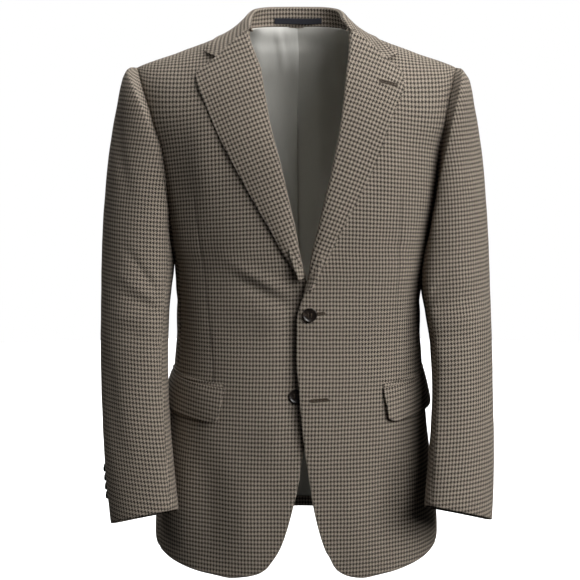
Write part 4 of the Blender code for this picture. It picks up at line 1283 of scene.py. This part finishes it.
for side in SIDES:
    share = shares(70, (0.006, 0.014, 0.024))
    down = shares(18, (0.03, 0.07))[:, None]
    shorter = 0.006 * np.maximum(0, 1 - share * 8) ** 2 + 0.004 * np.maximum(0, share * 12 - 11) ** 2
    turn = mix(FLAP_FRONT[side], FLAP_BACK[side], share) + 1.6 * down * (1 - share)
    z = FLAP_TOP + FLAP_RISE * share - (FLAP_HEIGHT - shorter) * down
    places, out = front_face(side, turn, z)
    off = FLAP_CLOTH + 0.0008 + 0.0012 * down + FLAP_LIFT * down * share ** 4
    off = off + 0.0009 * np.sin(np.pi * down) - 0.0008 * np.exp(-(down / 0.06) ** 2)
    off = off + FLAP_FRONT_LIFT * down * np.maximum(0, 1 - share * 3) ** 2
    off = off + 0.0005 * down * np.sin(share * 9 + 1)
    places = places + out * off[..., None]
    flat = flat_pattern(turn, z)
    flat[..., 1] -= FLAP_GRAIN_RISE * share
    places, out, flat = to_side(side, places, out, flat)
    flap = sew(f"{side}_flap", places, out, flat, (plain_tweed, lining_satin), wall=FLAP_CLOTH)
    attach(flap, "root")
    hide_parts(f"pocket_flap_{side}")
    up = np.linspace(0, 1, 9)[:, None]
    turn = mix(FLAP_FRONT[side] + JETTING_INSET, FLAP_BACK[side], share) + 0 * up
    z = FLAP_TOP + FLAP_RISE * share - SEAM_LAP + JETTING_HEIGHT * up
    places, out = front_face(side, turn, z)
    places = places + out * (JETTING_CLOTH + 0.0007 * np.sin(np.pi * up)[..., None])
    flat = flat_pattern(turn, z) + JETTING_GRAIN_STEP
    places, out, flat = to_side(side, places, out, flat)
    jetting = sew(f"{side}_jetting", places, out, flat, (plain_tweed, plain_tweed),
                  wall=JETTING_CLOTH)
    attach(jetting, "root")
    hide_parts(f"jetting_{side}")


# Back lining: two halves of grey satin, hung inside the back from the neck seam to above the
# hem. The wearer's right half is folded over the other in a pleat down the middle.
LINING = 0.0010
LINING_GAP = 0.0008
LINING_LOW = 0.035
LINING_WIDE = 0.90
LINING_HOLLOW = 0.0055
LINING_OVER = 0.0004
LINING_EASE = 0.013
LINING_EASE_Z = -0.045
LINING_EASE_REACH = 0.040
PLEAT = {"left": (-0.012, 0.0000), "right": (-0.003, 0.0034)}
LINING_CREASES = {
    # from across and up, to across and up, half width, how far it stands into the jacket
    "left": (
        (0.030, 0.000, 0.040, -0.240, 0.0110, 0.0026),
        (0.056, -0.010, 0.066, -0.200, 0.0090, -0.0016),
        (0.022, -0.150, 0.026, -0.600, 0.0140, 0.0022),
        (0.090, -0.250, 0.080, -0.640, 0.0180, 0.0024),
    ),
    "right": (
        (0.0315, 0.008, 0.0215, -0.060, 0.0042, 0.0046),
        (0.0185, 0.006, 0.0120, -0.052, 0.0032, 0.0030),
        (0.0085, 0.004, 0.0045, -0.075, 0.0035, 0.0026),
        (0.0620, -0.010, 0.0560, -0.160, 0.0080, 0.0022),
        (0.0300, -0.160, 0.0240, -0.600, 0.0140, 0.0022),
        (0.0850, -0.220, 0.0800, -0.640, 0.0180, 0.0024),
    ),
}

for side in SIDES:
    turn, z = back_cut(side)
    over_middle, pleat = PLEAT[side]
    kept = shares(BACK_COLUMNS) <= LINING_WIDE
    first_row = np.searchsorted(shares(BACK_ROWS, HEM_CLOSE), LINING_LOW)
    turn, z = turn[first_row:, kept], z[first_row:, kept]
    places, out = back_face(turn, z)
    x = places[..., 0]
    reach = over_middle * np.maximum(0, 1 - x / 0.03)
    slack = pleat * np.exp(-(x / 0.016) ** 2) + creased(x, z, LINING_CREASES[side])
    slack = slack + LINING_HOLLOW * eased(x / 0.055) * eased((0.09 - x) / 0.03)
    eased_out = LINING_EASE * np.exp(-((z - LINING_EASE_Z) / LINING_EASE_REACH) ** 2)
    slack = slack + eased_out * eased((0.10 - x) / 0.04) * eased(-z / 0.030)
    slack = np.maximum(slack + uneven(x, z * 0.5, 0.0003), 0)
    inside = CLOTH + LINING_GAP + slack - np.minimum(back_lift(x, z), 0)
    places = places - unit(out * (1, 1, 0.1)) * inside[..., None]
    places[-1, :, 2] += LINING_OVER
    places[..., 0] += reach
    places, out, flat = to_side(side, places, out, back_flat(turn, z))
    back_lining = sew(f"{side}_back_lining", places, out, flat, (lining_satin, lining_satin),
                      wall=LINING)
    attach(back_lining, "root")
    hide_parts(f"back_lining_{side}")


# Hanger loop: a flat tape of close-ribbed navy cotton, sewn at its two ends to the inside of
# the collar stand.
LOOP_CENTRE = 0.0027
LOOP_LENGTH = 0.070
LOOP_Z = (0.0115, 0.0200)
LOOP_CLOTH = 0.0012
LOOP_RIB = 0.0007
STAND_SHARE = 0.33
STAND_BEHIND = 0.03
NAVY = (0.014, 0.015, 0.024)


def ribbed_tape(name):
    """Navy tape with a rib across it and a dull face."""
    bench = Bench(name)
    u, v = bench.flat_cloth()
    ribs_and_shade = (u * (2 * math.pi / LOOP_RIB)).math("SINE")
    fleck = bench.noise(bench.point(u, v), 1400.0, 3.0)
    # painted shade: the colour is up to 18% darker in the troughs between the ribs and lighter on
    # their crests
    amount = 1 + ribs_and_shade * 0.18 + fleck * 0.5
    bench.shader.inputs["Sheen Weight"].default_value = 0.12
    return bench.finish(base_color=bench.shaded(bench.plain(NAVY), amount),
                        roughness=0.8 + fleck * 0.1,
                        normal=bench.bumped(ribs_and_shade + fleck * 0.4, 0.00012))


def nearest_depth(cloth, x, z):
    """Depth of a cloth face at a place across and up."""
    apart = np.hypot(cloth[:, 0] - x, cloth[:, 2] - z)
    near = np.argsort(apart)[:4]
    weight = 1 / (apart[near] + 0.0004)
    return float(np.sum(cloth[near, 1] * weight) / np.sum(weight))


stand = collar_places[:, collar_fold_at < STAND_SHARE * over_fold[-1]].reshape(-1, 3)
stand = stand[stand[:, 1] > STAND_BEHIND]
share = shares(42, (0.01, 0.03))
height = np.linspace(0, 1, 11)[:, None]
x = LOOP_CENTRE + LOOP_LENGTH * (share - 0.5) + 0 * height
z = mix(LOOP_Z[0], LOOP_Z[1], height) + 0 * x
depth = np.array([[nearest_depth(stand, a, b) for a, b in zip(*row)] for row in zip(x, z)])
slack = 0.0016 * np.sin(np.pi * share) ** 0.5 + 0.0002
places = np.stack((x, depth - LOOP_CLOTH - slack, z + 0.0004 * np.sin(share * 7)), -1)
toward_neck = np.zeros_like(places) + (0, -1, 0)
loop = sew("tape_loop", places, toward_neck, np.stack((x, z), -1),
           (ribbed_tape("navy_tape"), ribbed_tape("navy_tape_back")), wall=LOOP_CLOTH)
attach(loop, "root")
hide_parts("hanger_loop")


# Buttonholes: two worked through the left front and one through the left lapel, each a slit
# bound all round with close stitches of brown twist.
HOLES = {
    # name: the cloth it is in, from across and up, to across and up
    "top_buttonhole": ("left_front", (0.0170, -0.4020), (0.0393, -0.4003)),
    "lower_buttonhole": ("left_front", (0.0193, -0.5232), (0.0441, -0.5222)),
    "lapel_buttonhole": ("left_lapel", (0.1161, -0.0758), (0.1412, -0.0826)),
}
STITCH_LENGTH = 0.0027
STITCH_THICK = 0.00070
STITCH_STEP = 0.00058
HOLE_PROUD = 0.0007
LAY_REACH = 0.022
STITCH_OFF = 0.55
STITCH_FAN = (-68, -40, -13, 13, 40, 68)
TWIST_BROWN = (0.062, 0.043, 0.025)


def twist_thread(name):
    """Buttonhole twist: brown silk, its strands laid round it, with a slight lustre."""
    bench = Bench(name)
    place = bench.node("TexCoord", {}, {}, "Object")
    strand = bench.noise(place, 2600.0, 3.0)
    return bench.finish(base_color=bench.shaded(bench.plain(TWIST_BROWN), 1 + strand * 0.7),
                        roughness=0.6 + strand * 0.2,
                        normal=bench.bumped(strand, 0.00008))


def worked_hole(name, length):
    """Stitches side by side along a slit on X, and fanned round its two ends."""
    bpy.ops.mesh.primitive_uv_sphere_add(segments=8, ring_count=6, radius=0.5, location=(0, 0, 0))
    stitch = bpy.context.object
    corners = np.array([vertex.co for vertex in stitch.data.vertices])
    corners = corners * (STITCH_THICK, STITCH_LENGTH, STITCH_THICK)
    faces = [tuple(face.vertices) for face in stitch.data.polygons]
    bpy.data.objects.remove(stitch)
    half = length / 2 - STITCH_LENGTH / 2
    stations = []
    for x in np.arange(-half, half, STITCH_STEP):
        stations += [(x, STITCH_OFF, 0.0), (x + STITCH_STEP / 2, -STITCH_OFF, 0.0)]
    for end in (-1, 1):
        for fan in np.radians(STITCH_FAN):
            stations.append((end * (half + STITCH_OFF * STITCH_LENGTH * math.cos(fan)),
                             STITCH_OFF * math.sin(fan), end * (fan - math.pi / 2)))
    verts, joined = [], []
    for x, y, lean in stations:
        turned = corners @ np.array(((math.cos(lean), math.sin(lean), 0),
                                     (-math.sin(lean), math.cos(lean), 0), (0, 0, 1)))
        joined += [tuple(corner + len(verts) for corner in face) for face in faces]
        verts += (turned + (x, y * STITCH_LENGTH, 0)).tolist()
    mesh = bpy.data.meshes.new(name)
    mesh.from_pydata(verts, [], joined)
    mesh.polygons.foreach_set("use_smooth", np.ones(len(joined), bool))
    hole = bpy.data.objects.new(name, mesh)
    bpy.context.scene.collection.objects.link(hole)
    return hole


def lay_on(hole, cloth, start, end):
    """Lay a worked hole on the outer face of a cloth, from one place to another."""
    start, end = np.array(start), np.array(end)
    run = unit(end - start)
    middle = (start + end) / 2
    face = np.array([vertex.co for vertex in cloth.data.vertices if vertex.normal.y < -0.2])
    face = face[np.hypot(face[:, 0] - middle[0], face[:, 2] - middle[1]) < LAY_REACH]
    x, z = face[:, 0] - middle[0], face[:, 2] - middle[1]
    terms = np.stack((x ** 0, x, z, x * x, x * z, z * z), -1)
    depth = np.linalg.lstsq(terms, face[:, 1], rcond=None)[0]
    for vertex in hole.data.vertices:
        across, up, off = vertex.co
        x, z = run * across + np.array((-run[1], run[0])) * up
        out = unit(np.array((depth[1] + 2 * depth[3] * x + depth[4] * z, -1,
                             depth[2] + depth[4] * x + 2 * depth[5] * z)))
        y = depth @ (1, x, z, x * x, x * z, z * z)
        vertex.co = np.array((middle[0] + x, y, middle[1] + z)) + out * (off + HOLE_PROUD)


twist = twist_thread("buttonhole_twist")
for name, (cloth_name, start, end) in HOLES.items():
    hole = worked_hole(name, math.dist(start, end))
    lay_on(hole, bpy.data.objects[cloth_name], start, end)
    hole.data.materials.append(twist)
    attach(hole, "root")


# Buttons: turned from dark horn with a raised rim, a sunk middle and four holes, and sewn on
# with brown twist. Two close the front, and four stand up each cuff, each lapping the next.
FRONT_BUTTON = 0.0100
CUFF_BUTTON = 0.0072
BUTTON_SEAT = 0.0006
TOP_BUTTON = (0.0150, -0.402)
LOWER_BUTTON = (-0.0030, -0.518)
CUFF_BUTTONS = 4
CUFF_BUTTON_STEP = 0.0130
CUFF_BUTTON_TILT = 15.5
CUFF_BUTTON_TURNS = {"left": (-66.0, -44.0, -22.0), "right": (-44.0, -22.0, 0.0)}
CUFF_BUTTON_LOW = 0.50
CUFF_BUTTON_FIRST = 0.004
CUFF_BUTTON_PROUD = 0.0003
CUFF_BUTTON_THICK = 0.0028
HORN = (0.012, 0.0085, 0.0065)
HORN_LIGHT = (0.050, 0.034, 0.024)


def horn(name):
    """Dark horn: clouded brown-black with paler streaks and a polish worn a little dull."""
    bench = Bench(name)
    place = bench.node("TexCoord", {}, {}, "Object")
    streak = bench.node("TexNoise", {}, {"Vector": place, "Scale": 240.0, "Detail": 4.0,
                                         "Distortion": 1.6})
    cloud = bench.noise(place, 90.0)
    pale = ((streak - 0.52) * 4.0 + cloud).kept_in(0.0, 1.0)
    bench.shader.inputs["Coat Roughness"].default_value = 0.22
    return bench.finish(base_color=bench.blend(pale, HORN, HORN_LIGHT),
                        roughness=0.30 + pale * 0.12, coat_weight=0.35 + cloud * 0.2,
                        normal=bench.bumped(streak, 0.00004))


def button(name, radius, thick, frame_matrix, finish):
    """One button with its sewing thread, set by a frame whose Z points out of the cloth."""
    bpy.ops.mesh.primitive_cylinder_add(vertices=40, radius=radius, depth=thick,
                                        location=(0, 0, thick / 2))
    blank = bpy.context.object
    bpy.ops.object.mode_set(mode="EDIT")
    bpy.ops.mesh.select_mode(type="FACE")
    bpy.ops.mesh.select_all(action="DESELECT")
    bpy.ops.object.mode_set(mode="OBJECT")
    for face in blank.data.polygons:
        face.select = face.normal.z > 0.9
    bpy.ops.object.mode_set(mode="EDIT")
    for inset, sink in ((0.10, 0.0), (0.12, -0.16), (0.10, -0.12), (0.30, 0.02)):
        bpy.ops.mesh.inset(thickness=radius * inset)
        bpy.ops.transform.translate(value=(0, 0, thick * sink))
    bpy.ops.mesh.select_all(action="DESELECT")
    bpy.ops.object.mode_set(mode="OBJECT")
    for face in blank.data.polygons:
        face.select = face.normal.z < -0.9
    bpy.ops.object.mode_set(mode="EDIT")
    bpy.ops.mesh.inset(thickness=radius * 0.12)
    bpy.ops.transform.translate(value=(0, 0, -0.0001))
    bpy.ops.object.mode_set(mode="OBJECT")
    rounding = blank.modifiers.new("rounding", "BEVEL")
    rounding.width = radius * 0.045
    rounding.segments = 3
    rounding.limit_method = "ANGLE"
    rounding.angle_limit = math.radians(32)
    bpy.ops.object.modifier_apply(modifier="rounding")
    hole_out = radius * 0.23
    for x, y in ((1, 1), (1, -1), (-1, -1), (-1, 1)):
        bpy.ops.object.select_all(action="DESELECT")
        bpy.ops.mesh.primitive_cylinder_add(vertices=14, radius=radius * 0.10, depth=thick * 3,
                                            location=(x * hole_out, y * hole_out, 0))
        drill = bpy.context.object
        bpy.context.view_layer.objects.active = blank
        boring = blank.modifiers.new("boring", "BOOLEAN")
        boring.operation = "DIFFERENCE"
        boring.object = drill
        bpy.ops.object.modifier_apply(modifier="boring")
        bpy.data.objects.remove(drill)
    for material in finish:
        blank.data.materials.append(material)
    sewn_height = thick * 0.74
    strands = []
    for x in (-1, 1):
        bpy.ops.mesh.primitive_uv_sphere_add(segments=10, ring_count=12, radius=0.5,
                                             location=(x * hole_out, 0, sewn_height))
        strand = bpy.context.object
        strand.scale = (radius * 0.17, hole_out * 2 + radius * 0.18, radius * 0.13)
        bpy.ops.object.transform_apply(location=True, scale=True)
        for material in finish:
            strand.data.materials.append(material)
        for face in strand.data.polygons:
            face.material_index = 1
        strands.append(strand)
    bpy.ops.object.select_all(action="DESELECT")
    for part in (*strands, blank):
        part.select_set(True)
    bpy.context.view_layer.objects.active = blank
    bpy.ops.object.join()
    bpy.ops.object.transform_apply(location=True, rotation=True, scale=True)
    bpy.ops.object.shade_smooth_by_angle(angle=math.radians(38))
    blank.name = name
    blank.data.transform(frame_matrix)
    blank.select_set(False)
    return blank


def seat_frame(place, normal, upward=(0, 0, 1)):
    """Frame on a cloth: Z out of it and Y up along it."""
    out = Vector(normal).normalized()
    side_way = Vector(upward).cross(out).normalized()
    turned = Matrix((side_way, out.cross(side_way), out)).transposed().to_4x4()
    return Matrix.Translation(Vector(place)) @ turned


dark_horn = horn("dark_horn")
for name, node, (x, z), cloth_side, thick in (
        ("top_front_button", "button_top", TOP_BUTTON, "left", 0.0040),
        ("lower_front_button", "button_lower", LOWER_BUTTON, "right", 0.0032)):
    hand = HAND[cloth_side]
    x = np.array(x * hand)
    place, normal = front_face(cloth_side, turn_at(x, np.array(z)), np.array(z))
    place, normal = place * (hand, 1, 1), normal * (hand, 1, 1)
    place = place + normal * BUTTON_SEAT + (float(smooth(SWAY, 1, z)), 0, 0)
    sewn = button(name, FRONT_BUTTON, thick, seat_frame(place, normal), (dark_horn, twist))
    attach(sewn, "root")
    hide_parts(node)

for side in SIDES:
    rings = sleeve_rings(side, np.array(CUFF_BUTTON_TURNS[side]))
    cuff, above = rings[-1], rings[-2]
    along = unit(above[1] - cuff[1])
    out = unit(np.cross(cuff[2] - cuff[0], along))
    out = out if out[0] > 0 else -out
    start = mix(above[1], cuff[1], CUFF_BUTTON_LOW)
    hand = np.array((HAND[side], 1, 1))
    tilt = Matrix.Rotation(math.radians(-CUFF_BUTTON_TILT), 4, "X")
    lift = CUFF_BUTTON * math.sin(math.radians(CUFF_BUTTON_TILT)) + CUFF_BUTTON_PROUD
    for number in range(CUFF_BUTTONS):
        spot = start + along * (CUFF_BUTTON_FIRST + CUFF_BUTTON_STEP * number) + out * lift
        turned = seat_frame(spot * hand, out * hand, along * hand) @ tilt
        sewn = button(f"{side}_cuff_button_{number + 1}", CUFF_BUTTON, CUFF_BUTTON_THICK,
                      turned, (dark_horn, twist))
        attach(sewn, "root")
        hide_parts(f"cuff_button_{side}_{number + 1}")
